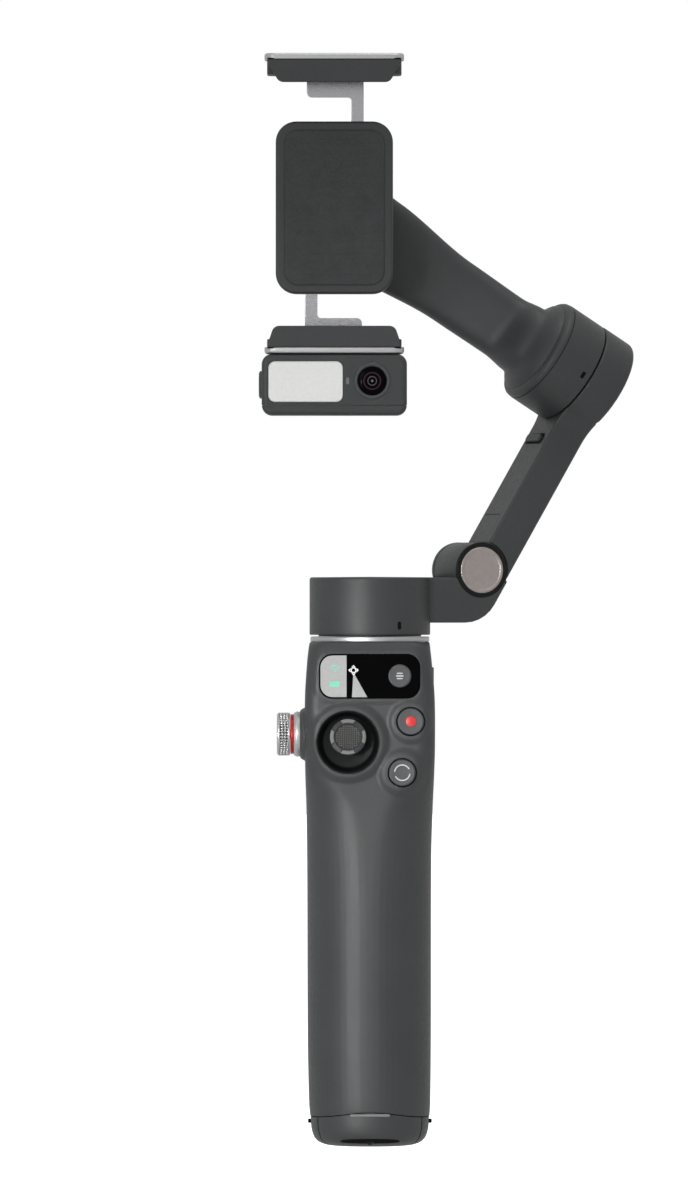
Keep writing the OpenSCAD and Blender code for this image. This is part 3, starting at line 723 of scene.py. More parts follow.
def status_window():
    """Cover glass with the grey status field, a battery bar, signal arcs, a wedge and a four-way sign."""
    place = ahead(WINDOW)
    make("status_glass", slab(round_box(28.7, 12.4, 3.6, 12), 17.4, GLASS_TOP, 0.1, 0.35, 5), GLASS_BLACK,
         "handle", place, ["display_window"])
    make("window_gasket", loft([[(x, y, z) for x, y in inset(round_box(29.2, 12.9, 3.85, 12), d)] for d,
                                z in ((0, 17.0), (0, 18.85), (0.12, 18.95), (0.24, 18.85), (0.24, 17.0))],
                               wrap=True), BLACK_AND_PAINTED_SHADE, "handle", place)
    field = fillet([(-6.65, -6.0, 0), (-6.65, 6.0, 0), (-14.2, 6.0, 3.5), (-14.2, -6.0, 3.5)], 8)
    mark("status_field", place, field, GLASS_TOP + 0.01, SCREEN_GREY, "handle")
    mark("battery_bar", place, moved(round_box(3.0, 1.5, 0.12, 2), -10.1, -2.3), GLASS_TOP + 0.06, MINT,
         "handle")
    for k in range(3):
        ring_mark(f"signal_arc_{k}", front(WINDOW.x - 10.0, 0, WINDOW.z + 1.1), 0.35 + 0.7 * k,
                  0.68 + 0.7 * k, 45, 135, GLASS_TOP + 0.06, MINT, "handle")
    wedge = [(-5.1, -6.05), (-0.65, -6.05), (-4.35, 0.5), (-4.75, 0.5)]
    mark("pointer_wedge", place, wedge, GLASS_TOP + 0.01, SCREEN_GREY, "handle")
    sign = front(WINDOW.x - 4.65, 0, WINDOW.z + 1.75)
    for k in range(4):
        tip = [(0, 1.5), (-0.62, 0.85), (-0.32, 0.85), (0, 1.1), (0.32, 0.85), (0.62, 0.85)]
        mark(f"four_way_tip_{k}", sign, turned_by(list(reversed(tip)), 90 * k), GLASS_TOP + 0.07,
             MARK_WHITE, "handle")
    make("four_way_ring", lathe([(0.55, 18.95), (0.55, 19.1), (0.85, 19.1), (0.85, 18.95)], 32, wrap=True),
         MARK_WHITE, "handle", sign)


def key(name, node, body, r, top, dish, look=KEY):
    """A round key with a dished face, a rounded rim and its plunger."""
    at = middle(node)
    profile = fillet(
        [(1.1, 12.3, 0), (1.1, 16.6, 0), (r, 16.6, 0.1), (r, top, 0.4), (r * 0.55, top - dish, 2),
         (0.05, top - dish * 1.15, 0)], 5, closed=False
    )
    return make(name, lathe(profile, 72), look, body, ahead(at), [node])


def round_keys():
    key("record_key_cap", "record_button", "record_key", 3.85, 19.75, 0.18)
    key("flip_key_cap", "flip_button", "flip_key", 3.85, 19.75, 0.18)
    key("mode_key_cap", "mode_button", "mode_key", 3.35, 19.4, 0.12)
    dot = lathe(fillet([(1.55, 19.3, 0), (1.55, 19.78, 0.2), (0.05, 19.86, 0)], 4, closed=False), 48)
    make("record_dot", dot, RED_PRINT_PAINTED_GLOW, "record_key", ahead(RECORD))
    for k in range(2):
        ring_mark(f"flip_arc_{k}", ahead(FLIP), 2.05, 2.4, 28 + 180 * k, 172 + 180 * k,
                  19.62, GREY_PRINT_PAINTED_GLOW, "flip_key", 0.08)
    for k in range(3):
        bar = moved(round_box(2.2 - 0.5 * abs(k - 1), 0.36, 0.15, 3), 0, 0.75 * (k - 1))
        mark(f"mode_bar_{k}", ahead(MODE), bar, 19.3, GREY_PRINT_PAINTED_GLOW, "mode_key", thick=0.06)
    for name, at in (("record", RECORD), ("flip", FLIP)):
        corners = [(3.95, 15, 0), (4.3, 15, 0), (4.3, 19.1, 0.1), (3.95, 19.1, 0.05)]
        make(f"{name}_gasket", turned(corners, 72, wrap=True), BLACK_AND_PAINTED_SHADE, "handle", ahead(at))


def joystick():
    """Deep well, leaning cap with four ridges and a knurled middle, and the dome under it."""
    at = ahead(WELL)
    corners = [(8.55, 19.3, 0.2), (8.9, 19.62, 0.1), (9.3, 19.62, 0.15), (9.3, 15.0, 0), (6.35, 15.0, 0),
               (6.35, 11.6, 0), (5.0, 11.6, 0), (5.0, 15.6, 0), (3.6, 15.6, 0), (3.6, 16.0, 0.1),
               (7.6, 16.0, 0.8)]
    well = make("joystick_well", turned(corners, 96, wrap=True), WELL_BLACK, "handle", at,
                ["joystick_collar"])
    cut(well, tool(frame_matrix(JOY, Y, Z, X), 0.65, -7, 7, 32))
    lean = (Vector(middle("joystick_cap")) - JOY).normalized()
    stick = frame_matrix(JOY, X, lean.cross(X), lean)
    dome = fillet([(1.32, 3.9, 0), (2.7, 3.95, 0.3), (3.1, 4.6, 0.4), (2.9, 5.2, 0.3), (1.32, 5.36, 0)], 6,
                  closed=False)
    make("joystick_dome", lathe(dome, 72), BLACK_AND_PAINTED_SHADE, "joystick", stick)
    cap = fillet([(1.3, 5.35, 0), (4.9, 5.35, 0.2), (5.34, 5.8, 0.3), (5.3, 6.75, 0.3), (4.0, 6.95, 0.15),
                  (3.75, 6.55, 0.1), (0.05, 6.5, 0)], 5, closed=False)
    make("joystick_cap_body", lathe(cap, 96), SHELL_DARK, "joystick", stick, ["joystick_cap"])
    pitch = 0.62
    verts, faces = [], []
    for i in range(-6, 7):
        for j in range(-6, 7):
            x, y = i * pitch, j * pitch
            if math.hypot(x, y) > 3.55:
                continue
            k = len(verts)
            for half, z in ((0.22, 6.4), (0.22, 6.72), (0.12, 6.84)):
                verts += [(x + sx * half, y + sy * half, z) for sx,
                          sy in ((-1, -1), (1, -1), (1, 1), (-1, 1))]
            for ring in (0, 4):
                faces += [(k + ring + a, k + ring + (a + 1) % 4, k + ring + 4 + (a + 1) % 4,
                           k + ring + 4 + a)
                          for a in range(4)]
            faces += [(k + 8, k + 9, k + 10, k + 11), (k + 3, k + 2, k + 1, k)]
    make("joystick_knurl", (verts, faces), KNURL, "joystick", stick)
    for k in range(4):
        points = arc(0, 0, 5.2, -24 + 90 * k, 24 + 90 * k, 12) + arc(0, 0, 4.15, 20 + 90 * k, -20 + 90 * k,
                                                                     12)
        make(f"joystick_ridge_{k}", slab(points, 6.6, 7.22, 0.05, 0.2, 4), RIDGE, "joystick", stick)
    for k in range(8):
        points = moved(round_box(0.5, 0.9, 0.12, 2), 4.7, 0)
        make(f"joystick_tick_{k}", slab(turned_by(points, 45 * k + 22.5), 6.6, 7.05, 0.05, 0.1, 2),
             SHELL_DARK, "joystick", stick)


def side_wheel():
    """Knurled knob, pale ring, red ring, bright collar and the dark boss on the handle; a black core in the
    knob shows in the bottoms of its pits as painted shade.
    """
    at = beside(WHEEL)
    boss = fillet([(1.56, 15.6, 0), (7.9, 15.6, 0), (7.95, 18.4, 0.4), (7.0, 20.2, 1.2), (6.5, 20.25, 0.1),
                   (1.56, 20.25, 0)], 5)
    make("wheel_boss_body", lathe(boss, 96, wrap=True), SHELL, "handle", at, ["wheel_boss"])
    collar = fillet([(1.56, 20.15, 0), (6.45, 20.15, 0.1), (6.55, 21.2, 0.8), (6.1, 22.05, 0.3),
                     (1.56, 22.05, 0)], 6)
    make("wheel_collar", lathe(collar, 96, wrap=True), SATIN, "handle", at)
    red = fillet([(1.56, 22.05, 0), (5.75, 22.05, 0.15), (5.75, 23.0, 0.15), (1.56, 23.0, 0)], 4)
    make("wheel_red_band", lathe(red, 96, wrap=True), RED, "handle", at, ["wheel_red_ring"])
    lip = fillet([(1.6, 23.1, 0), (6.1, 23.1, 0.15), (6.1, 23.6, 0.15), (1.6, 23.6, 0)], 4)
    make("wheel_knob_lip", lathe(lip, 96, wrap=True), SATIN, "side_wheel", at)
    # a grid of pits: 44 round the knob and three along it
    teeth, columns, pitch, first = 44, 3, 0.86, 24.07
    n = teeth * 8
    profile = [(1.4, 12.0), (1.4, 23.4), (5.9, 23.4), (6.15, 23.55)]
    profile += [(6.2, first - pitch / 2 + columns * pitch * i / 36) for i in range(37)]
    profile += [(6.2, 26.35), (6.05, 26.65), (5.6, 26.88), (4.6, 26.9), (4.3, 26.6)]
    rings = []
    for r, z in profile:
        along = (z - first) / pitch + 0.5
        deep = math.sin(math.pi * along) ** 2 if r == 6.2 and 0 < along < columns else 0
        radii = [r - 0.62 * deep * math.sin(math.pi * teeth * i / n) ** 2 for i in range(n)]
        rings.append([(q * math.cos(TURN * i / n), q * math.sin(TURN * i / n), z)
                      for i, q in enumerate(radii)])
    make("wheel_knob_grip", loft(rings), SATIN, "side_wheel", at, ["wheel_knob"])
    # A black core standing just above the bottoms of the pits shows through them: painted shade in the
    # knurl
    core = fillet([(1.5, 23.7, 0), (5.88, 23.7, 0), (5.88, 26.2, 0), (1.5, 26.2, 0)], 1)
    make("wheel_knob_pit_shade", lathe(core, 176, wrap=True), BLACK_AND_PAINTED_SHADE, "side_wheel", at)


def power_key():
    """Slim key on the right side."""
    at = middle("power_button")
    place = beside(at) @ HALF_TURN
    make("power_key_cap", slab(round_box(3.1, 8.9, 1.5, 8), 16.6, 18.5, 0.1, 0.25, 5), KEY, "power_key",
         place, ["power_button"])


def trigger():
    """Finger trigger on the rear: a curved blade that turns on its pin."""
    low, high = node_box("trigger")
    profile = [(20.3, low.z + 0.3), (21.5, low.z + 2.2), (21.3, low.z + 7), (20.4, low.z + 12),
               (19.2, low.z + 16), (18.2, high.z - 0.9)]
    rings = []
    for y, z in profile:
        inner = 17.7 - 2.3 * (z - low.z) / (high.z - low.z)
        points = fillet([(5.9, inner, 0.3), (5.9, y, 2.2), (-5.9, y, 2.2), (-5.9, inner, 0.3)], 7)
        rings.append([(x, yy, z) for x, yy in resample(points, 64)])
    lower = [[(x * 0.97, 17.8 + (yy - 17.8) * 0.93, low.z) for x, yy, z in rings[0]]]
    make("trigger_blade", loft(lower + rings), KEY, "trigger_lever", None, ["trigger"])


def base_foot(node, body, direction):
    """A third of the rounded base, which is the foot of one folded tripod leg, with its slender bar."""
    gap = 0.55
    steps = 40
    place = Matrix.Rotation(math.radians(direction), 4, "Z")
    outline = sorted((math.atan2(y, x), math.hypot(x, y)) for x, y in resample(handle_ring(9), 720))

    def radius(angle):
        angle = (angle + math.pi) % TURN - math.pi
        return min(outline, key=lambda item: abs(item[0] - angle))[1]

    def beside_gap(a, r):
        return a - math.copysign(gap / 2 / r, a) * abs(a / span) ** 8

    rings = []
    span = math.radians(60)
    levels = [(8.75, 0.985), (6.8, 0.98), (5.2, 0.965), (3.8, 0.935), (2.5, 0.885), (1.5, 0.80),
              (0.85, 0.69),
              (0.45, 0.56), (0.25, 0.42)]
    for s in range(steps + 1):
        a = -span + 2 * span * s / steps
        ring = []
        for z, share in levels:
            r = 6.4 + (min(radius(a + math.radians(direction)), 18.6) - 6.4) * share
            side = beside_gap(a, r)
            top = z
            if z > 8:
                world = a + math.radians(direction)
                top = seam_height(r * math.cos(world), r * math.sin(world)) - 0.28
            ring.append((r * math.cos(side), r * math.sin(side), top))
        for z, r in ((0.25, 6.4), (8.75, 6.4)):
            side = beside_gap(a, r)
            top = z if z < 1 else ring[0][2] - 0.2
            ring.append((r * math.cos(side), r * math.sin(side), top))
        rings.append(ring)
    make(f"{node}_foot", loft(rings), SHELL, body, place, [node])
    bar = fillet([(6.45, -2.9, 0.5), (8.9, -2.9, 0.5), (8.9, 2.9, 0.5), (6.45, 2.9, 0.5)], 4)
    make(f"{node}_bar", slab(bar, 5, 50.8, 0.2, 0.6, 4), SHELL_DARK, body, place)
    if body == "front_leg":
        foot_mouth_painted_shade(levels, place, radius)


def foot_mouth_painted_shade(levels, place, radius):
    """A near-black sheet laid on the front foot's lower edge, with its little notch: painted shade where
    the opening under the foot is.
    """
    half, steps = math.radians(33), 36

    def on_foot(a, z, proud):
        k = next(i for i in range(len(levels) - 1) if levels[i + 1][0] <= z)
        (z0, s0), (z1, s1) = levels[k], levels[k + 1]
        share = s0 + (s1 - s0) * (z0 - z) / (z0 - z1)
        r = 6.4 + (min(radius(a - math.pi / 2), 18.6) - 6.4) * share + proud
        return (r * math.cos(a), r * math.sin(a), z)

    rings = []
    for s in range(steps + 1):
        a = -half + 2 * half * s / steps
        bulge = math.sqrt(max(0, 1 - (a / half) ** 2)) ** 0.7
        top = 1.8 + 0.9 * bulge + 0.02
        low = 1.8 - (0.5 if abs(s - steps / 2) > 1 else 1.1) * bulge
        skin = [on_foot(a, low + (top - low) * i / 6, 0.05) for i in range(7)]
        rings.append(skin + [on_foot(a, top, -0.4), on_foot(a, low, -0.4)])
    make("foot_mouth_painted_shade", loft(rings), BLACK_AND_PAINTED_SHADE, "front_leg", place)


def tripod():
    """The three legs, the nail catch in front and a tab on each side leg."""
    for node, body, direction in (
        ("leg_front", "front_leg", -90), ("leg_left", "left_leg", 150), ("leg_right", "right_leg", 30)
    ):
        base_foot(node, body, direction)
    make("nail_catch", slab(round_box(11.4, 0.85, 0.35, 5), 17.0, 17.75, 0.1, 0.2, 4), RIDGE, "front_leg",
         front(0, 0, 9.55))
    for name, side in (("left", -1), ("right", 1)):
        tab = slab(round_box(1.2, 1.2, 0.35, 4), 16.4, 17.95, 0.1, 0.3, 4)
        turn = Matrix.Rotation(0 if side < 0 else math.pi, 4, "Z")
        make(f"foot_tab_{name}", tab, BLACK_AND_PAINTED_SHADE, f"{name}_leg", turn @ leftward(0, 0, 7.3))


head_trim()
status_window()
round_keys()
joystick()
side_wheel()
power_key()
trigger()
tripod()


# ---------------------------------------------------------------- pan motor, bracket and fold hinge

PAN_LOW, PAN_HIGH = node_box("pan_housing")
PAN_R = (PAN_HIGH.x - PAN_LOW.x) / 2


def pan_motor():
    """Turning bell of the pan motor, with its top cover and a small black patch in front, painted shade for
    a slot.
    """
    corners = [(2.6, PAN_LOW.z + 13.2, 0), (2.6, PAN_HIGH.z, 0.1), (PAN_R, PAN_HIGH.z, 0.7),
               (PAN_R, PAN_LOW.z, 0.35), (15.4, PAN_LOW.z, 0.1), (15.4, PAN_LOW.z + 13.2, 0.2)]
    make("pan_bell", turned(corners, 160, wrap=True), SHELL, "pan_bracket", None, ["pan_housing"])
    cap = fillet([(2.5, PAN_HIGH.z - 0.35, 0), (12.6, PAN_HIGH.z - 0.35, 0.1),
                  (12.8, PAN_HIGH.z + 0.02, 0.3),
                  (0.05, PAN_HIGH.z + 0.12, 0)], 5, closed=False)
    make("pan_top_cover", lathe(cap, 96), SHELL_DARK, "pan_bracket", None)
    # A thin black patch on the bell: painted shade where a slot is
    slot_at = Vector((8.5, -math.sqrt(PAN_R**2 - 8.5**2), 150.9))
    out = Vector((slot_at.x, slot_at.y, 0)).normalized()
    place = frame_matrix(slot_at, Z.cross(out), Z, out)
    make("pan_slot_painted_shade", slab(round_box(1.15, 2.3, 0.5, 5), -0.5, 0.03, 0.01, 0.01, 1), BLACK_AND_PAINTED_SHADE, "pan_bracket",
         place)


# Along the fold axis: the fork's outer and inner faces, and the face of the arm's tongue between them
EAR_OUT = 8.9
EAR_IN = 7.5
TONGUE = 7.38
# The arm's outer face and its half width
ARM_OUT = -8.9
ARM_HALF = 7.85
LEAN = math.degrees(math.atan2((ARM.to_3x3() @ X).z, (ARM.to_3x3() @ X).dot(PAN_OUT)))
HINGE_SIDE = frame_matrix(PAN @ Vector((HINGE_U, 0, HINGE.z)), PAN_OUT, Z, FOLD_AXIS)


def bracket():
    """Fork from the pan motor to the fold hinge; its thin ears carry the bright covers."""
    inner = 13 - HINGE_U
    top = PAN_HIGH.z - HINGE.z
    bottom = node_box("lower_bracket")[0].z - HINGE.z
    out = Vector((math.sin(math.radians(LEAN)), -math.cos(math.radians(LEAN)))) * -ARM_OUT
    along = Vector((math.cos(math.radians(LEAN)), math.sin(math.radians(LEAN))))
    corner = out - along * ((out.y - bottom) / along.y)
    shoulder = out + along * 1.3
    meet = math.degrees(math.asin(top / 8.1))
    profile = fillet(
        [(inner, bottom, 0), (corner.x, bottom, 10.8), (shoulder.x, shoulder.y, 0.3)]
        + [(x, y, 0) for x, y in arc(0, 0, 8.1, -17, 180 - meet, 40)]
        + [(inner, top, 0)], 8
    )
    piece = make("lower_bracket_body", slab(profile, -EAR_OUT, EAR_OUT, 0.7, 0.7, 5), SHELL, "pan_bracket",
                 HINGE_SIDE, ["lower_bracket"])
    cut(
        piece,
        tool(None, PAN_R - 0.3, 140, 175, 160),
        tool(HINGE_SIDE, 8.45, -EAR_IN, EAR_IN, 96),
        plate_tool(HINGE_SIDE, [(-20, top + 0.15), (12, top + 0.15), (12, 12), (-20, 12)], -EAR_IN, EAR_IN),
    )
    for sign, name in ((1, "front"), (-1, "rear")):
        disc = fillet([(0.05, 8.3, 0), (6.7, 8.3, 0), (6.7, 9.25, 0.3), (6.0, 9.3, 0.25), (5.6, 9.05, 0.3),
                       (0.05, 9.12, 0)], 6, closed=False)
        make(f"hinge_cover_{name}", lathe([(r, sign * z) for r, z in disc], 128), HINGE_COVER,
             "pan_bracket", HINGE_SIDE, ["hinge_discs"] if sign > 0 else ())
        rim = fillet([(6.72, 8.3, 0), (8.06, 8.3, 0), (8.06, 9.0, 0.3), (7.4, 9.12, 0.2),
                      (6.85, 9.0, 0.15)], 4)
        make(f"hinge_ear_{name}", lathe([(r, sign * z) for r, z in rim], 128, wrap=True), WELL_BLACK,
             "pan_bracket", HINGE_SIDE)


# ---------------------------------------------------------------- upper arm and tilt motor

# Radius of the motor's cap, and of the curve that leads into it
TILT_R = 16.0
FLARE = 9.0


def arm_outline():
    """The arm in its own plane: a bar that flares into the round cap of the tilt motor."""
    side = ARM_HALF + FLARE
    start = ARM_LEN - math.sqrt((TILT_R + FLARE) ** 2 - side**2)
    turn = math.degrees(math.atan2(side, ARM_LEN - start))
    return (
        [(1.0, -ARM_HALF)]
        + arc(start, -side, FLARE, 90, turn, 10)
        + arc(ARM_LEN, 0, TILT_R, turn - 180, 180 - turn, 72)
        + arc(start, side, FLARE, -turn, -90, 10)
        + [(1.0, ARM_HALF)]
    )


def upper_arm():
    """Arm from the fold hinge to the tilt motor, with its cover, tongue, seam and catch."""
    shell = make("upper_arm_shell", slab(arm_outline(), ARM_OUT, ARM_IN, 1.3, 0.6, 6), SHELL, "upper_arm",
                 ARM, ["arm_shell"])
    cover_at = moved(round_box(46.3, 11.3, 2.9), 37, 0)
    cut(
        shell,
        tool(HINGE_SIDE, 8.75, -12, 12, 128),
        plate_tool(ARM, inset(cover_at, -0.15), ARM_OUT - 1, ARM_OUT + 0.9),
    )
    make("arm_wiring_cover", slab(cover_at, ARM_OUT + 0.04, ARM_OUT + 0.85, 0.3, 0.1, 4), SHELL_DARK,
         "upper_arm", ARM, ["arm_cover"])
    tongue = fillet([(2.25, -TONGUE, 0), (8.05, -TONGUE, 0.3), (8.05, TONGUE, 0.3), (2.25, TONGUE, 0)], 4)
    make("hinge_barrel", lathe(tongue, 128, wrap=True), SHELL, "upper_arm", HINGE_SIDE)
    neck = fillet([(4.5, -TONGUE, 0.2), (10.5, -TONGUE, 0), (10.5, TONGUE, 0), (4.5, TONGUE, 0.2)], 3)
    make("hinge_neck", slab(neck, -6.2, ARM_IN - 0.15, 0.1, 0.1, 2), SHELL, "upper_arm", ARM)
    face = ARM @ Matrix.Translation((0, 0, ARM_IN))
    make("arm_seam", slab(moved(round_box(0.2, 11, 0.08, 2), 18, 1.2), -0.4, 0.02, 0.01, 0.01, 1), BLACK_AND_PAINTED_SHADE,
         "upper_arm", face)
    # A flat black plate round the catch: painted shade for the recess that the catch sits in
    for name, look, w, h, top in (("catch_painted_shade", BLACK_AND_PAINTED_SHADE, 3.6, 11.2, 0.02),
                                  ("catch", SHELL_DARK, 2.5, 9.8, 0.9)):
        make(f"arm_{name}", slab(moved(round_box(w, h, 0.9, 5), 43.9, 0.75), -0.4, top, 0.05,
                                 min(0.4, top / 2), 5), look, "upper_arm", face)


def tilt_motor():
    """Turning bell of the tilt motor, with its seam line and a small black patch, painted shade for a slot.
    """
    low, high = 0.4, 13.9
    corners = [(2.6, 11.4, 0), (2.6, high, 0.1), (TILT_R - 0.2, high, 1.6), (TILT_R - 0.2, 11.95, 0.05),
               (TILT_R - 0.45, 11.85, 0), (TILT_R - 0.45, 11.7, 0), (TILT_R - 0.1, 11.6, 0.05),
               (TILT_R - 0.1, low, 0.35), (13.9, low, 0.1), (13.9, 11.4, 0.2)]
    make("tilt_bell", turned(corners, 160, wrap=True), SHELL, "tilt_yoke", TILT, ["tilt_housing"])
    # A thin black patch on the bell: painted shade where a slot is
    out = Matrix.Rotation(math.radians(-100), 3, "Z") @ X
    place = TILT @ frame_matrix(out * (TILT_R - 0.14) + Z * 2.7, Z, out.cross(Z), out)
    make("tilt_slot_painted_shade", slab(round_box(1.1, 2.1, 0.45, 5), -0.5, 0.04, 0.01, 0.01, 1), BLACK_AND_PAINTED_SHADE, "tilt_yoke",
         place)


ROLL_BASE = node_box("roll_housing")[1].y + 0.4
ROLL_R = 14.0
ROLL = front(CLAMP.x, ROLL_BASE, CLAMP.z)


def blend(t, rows):
    """Values at t, eased between rows of (t, value, ...)."""
    k = max(i for i in range(len(rows) - 1) if rows[i][0] <= max(t, rows[0][0]))
    a, b = rows[k], rows[k + 1]
    u = ease(min(1, max(0, (t - a[0]) / (b[0] - a[0]))))
    return [p + (q - p) * u for p, q in zip(a[1:], b[1:])]


def tilt_arm():
    """Moulded arm: a shoulder on the tilt motor, a slim waist, and the round back of the roll motor."""
    start = TILT @ Vector((0, 0, 13.0))
    end = Vector((CLAMP.x, 0, CLAMP.z))
    run = Vector((end.x - start.x, 0, end.z - start.z))
    length = run.length
    run.normalize()
    up = Vector((-run.z, 0, run.x))
    up = up if up.z > 0 else -up
    # distance along, half width, half depth, middle depth, squareness, lean towards the motor's own axis
    rows = [(0, 14.4, 13.6, start.y, 2.0, 1), (1.2, 14.0, 13.0, start.y, 2.0, 1),
            (5.0, 10.6, 9.4, 23.0, 2.4, 0.55),
            (12, 9.8, 6.4, 26.6, 3.2, 0), (30, 10.0, 5.0, 25.9, 3.6, 0),
            (length - 14, 12.6, 3.6, 24.1, 4, 0),
            (length, 14, 3.0, ROLL_BASE + 3.05, 4.5, 0)]
    stops = [0, 0.6, 1.2, 2, 2.8, 3.6, 4.4, 5.2, 6.2, 7.4, 8.8, 10.4, 12]
    stops += [12 + (length - 12) * i / 26 for i in range(1, 27)]
    stops += [length + ROLL_R * math.sin(math.pi / 2 * i / 16) for i in range(1, 16)]
    motor_up = (TILT.to_3x3() @ X).normalized()
    n = 72
    rings = []
    for stop in stops:
        half, deep, mid_y, power, lean = blend(min(stop, length), rows)
        if stop > length:
            half = math.sqrt(max(ROLL_R**2 - (stop - length) ** 2, 0.05))
        centre = start + run * stop
        centre.y = mid_y
        side = up.lerp(motor_up, lean).normalized()
        back = Y.lerp(TILT.to_3x3() @ Y, lean).normalized()
        ring = []
        for i in range(n):
            c, q = math.cos(TURN * i / n), math.sin(TURN * i / n)
            u = math.copysign(abs(c) ** (2 / power), c)
            v = math.copysign(abs(q) ** (2 / power), q)
            ring.append(tuple(centre + side * (half * u) + back * (deep * v)))
        rings.append(ring)
    make("tilt_arm_body", loft(rings), SHELL, "tilt_yoke", None, ["tilt_arm"])


def roll_motor():
    """Bell of the roll motor, and the magnetic plate with its two pins."""
    corners = [(2.6, 11.8, 0), (2.6, 13.75, 0.1), (ROLL_R, 13.75, 0.6), (ROLL_R, 0.4, 0.4), (12, 0.4, 0.1),
               (12, 11.8, 0.2)]
    make("roll_bell", turned(corners, 144, wrap=True), SHELL, "roll_plate", ROLL, ["roll_housing"])
    top = ROLL_BASE - node_box("magnet_plate")[0].y
    plate = fillet([(0.05, 13.75, 0), (13, 13.75, 0.2), (13, top - 1.05, 0.4), (12.2, top - 1.05, 0.1),
                    (12.0, top - 1.3, 0.1), (0.05, top - 1.3, 0)], 5, closed=False)
    make("magnet_plate_disc", lathe(plate, 128), SATIN, "roll_plate", ROLL, ["magnet_plate"])
    for k in (-1, 1):
        pin = fillet([(0.05, top - 1.5, 0), (1.15, top - 1.5, 0), (1.15, top, 0.3), (0.05, top, 0)], 4,
                     closed=False)
        make(f"locating_pin_{'a' if k < 0 else 'b'}", lathe(pin, 40), STEEL, "roll_plate",
             front(CLAMP.x + 8 * k, ROLL_BASE, CLAMP.z))


# ---------------------------------------------------------------- clamp

JAW_W = node_box("upper_jaw")[1].x - node_box("upper_jaw")[0].x
PHONE_FRONT = -12.25
LIP_FRONT = -node_box("upper_pad")[0].y


def clamp():
    """Back plate with the channel of the racks, and the ribbed rubber rest."""
    low, high = node_box("clamp_body")
    place = ahead(CLAMP)
    piece = make("clamp_back_plate", slab(round_box(34, 50, 6, 10), -high.y, -low.y - 0.5, 1.0, 0.8, 5),
                 SHELL, "clamp", place, ["clamp_body"])
    cut(piece, plate_tool(place, [(-9.15, -30), (9.15, -30), (9.15, 30), (-9.15, 30)], -1.08, 2.08),
        tool(front(CLAMP.x - 8, 0, CLAMP.z), 1.25, -4, -1.7, 32),
        tool(front(CLAMP.x + 8, 0, CLAMP.z), 1.25, -4, -1.7, 32))
    make("phone_rest", slab(round_box(29, 45, 4, 10), -low.y - 0.8, -low.y - 0.05, 0.1, 0.3, 4), RUBBER,
         "clamp", place)
    for k in range(-6, 7):
        points = moved(round_box(22, 0.9, 0.42, 4), 0, 3.2 * k)
        make(f"phone_rest_rib_{k + 6}", slab(points, -low.y - 0.3, -low.y, 0.05, 0.04, 2), RUBBER, "clamp",
             place)


def jaw(kind, sign, body, lip_rise):
    """Bright strip, rack plate and soft pad of one jaw; sign is +1 above the phone and -1 below."""
    jaw_low, jaw_high = node_box(f"{kind}_jaw")
    pad_low, pad_high = node_box(f"{kind}_pad")
    strip_far = jaw_high.z if sign > 0 else jaw_low.z
    strip_near = strip_far - sign * 1.9
    edge = pad_low.z if sign > 0 else pad_high.z
    phone_edge = edge + sign * lip_rise
    depth_mid = (jaw_low.y + jaw_high.y) / 2
    depth = jaw_high.y - jaw_low.y
    plan = frame_matrix(Vector((CLAMP.x, depth_mid, strip_near)), X, Y * sign, Z * sign)
    make(f"{kind}_jaw_strip", slab(round_box(JAW_W, depth, 3, 10), 0, 1.88, 0.35, 0.75, 6), SATIN, body,
         plan, [f"{kind}_jaw"])
    pad_plan = frame_matrix(Vector((CLAMP.x, (PHONE_FRONT + 2.3) / 2, 0)), X, Y, Z)
    make(f"{kind}_jaw_floor", slab(round_box(JAW_W - 1.5, 2.3 - PHONE_FRONT, 2.6, 8),
                                   *sorted((strip_near, phone_edge)), 0.3, 0.3, 3), RUBBER, body, pad_plan)
    wide, narrow = JAW_W / 2 - 0.75, 16.0 if sign > 0 else 17.5
    rise = abs(strip_near - edge)
    outline = fillet([(-wide, 0.5, 0.1), (wide, 0.5, 0.1), (wide - 0.2, -0.9, 0.8), (narrow, -rise, 2.2),
                      (-narrow, -rise, 2.2), (-wide + 0.2, -0.9, 0.8)], 8)
    lip = frame_matrix(Vector((CLAMP.x, 0, strip_near)), X * sign, Z * sign, -Y)
    make(f"{kind}_jaw_lip", slab(outline, -PHONE_FRONT + 0.03, LIP_FRONT - 0.37, 0.2, 0.45, 6), SHELL, body,
         lip, [f"{kind}_pad"])
    # rack plate behind the phone, with its teeth
    rack_near, rack_far = -1.0, 2.0
    rack = frame_matrix(Vector((CLAMP.x, 0, CLAMP.z)), X * sign, Z * sign, -Y)
    reach = abs(strip_near - CLAMP.z)
    plate = fillet([(-8, 32, 1.5), (4.9, 32, 1.0), (4.9, -13, 0.3), (8.5, -13, 0.6), (8.5, reach, 0),
                    (-8, reach, 0)], 4)
    make(f"{kind}_rack", slab(plate, rack_near + 0.02, rack_far - 0.02, 0.15, 0.15, 2), STEEL, body, rack)
    pitch = math.pi * 0.6
    for k in range(-6, 6):
        tooth = [(5.0, (k + 0.5) * pitch - 0.72), (5.0, (k + 0.5) * pitch + 0.72),
                 (3.68, (k + 0.5) * pitch + 0.16), (3.68, (k + 0.5) * pitch - 0.16)]
        make(f"{kind}_rack_tooth_{k + 6}", slab(tooth, rack_near + 0.05, rack_far - 0.05, 0.03, 0.03, 1),
             STEEL, body, rack)


# ---------------------------------------------------------------- tracking and light module


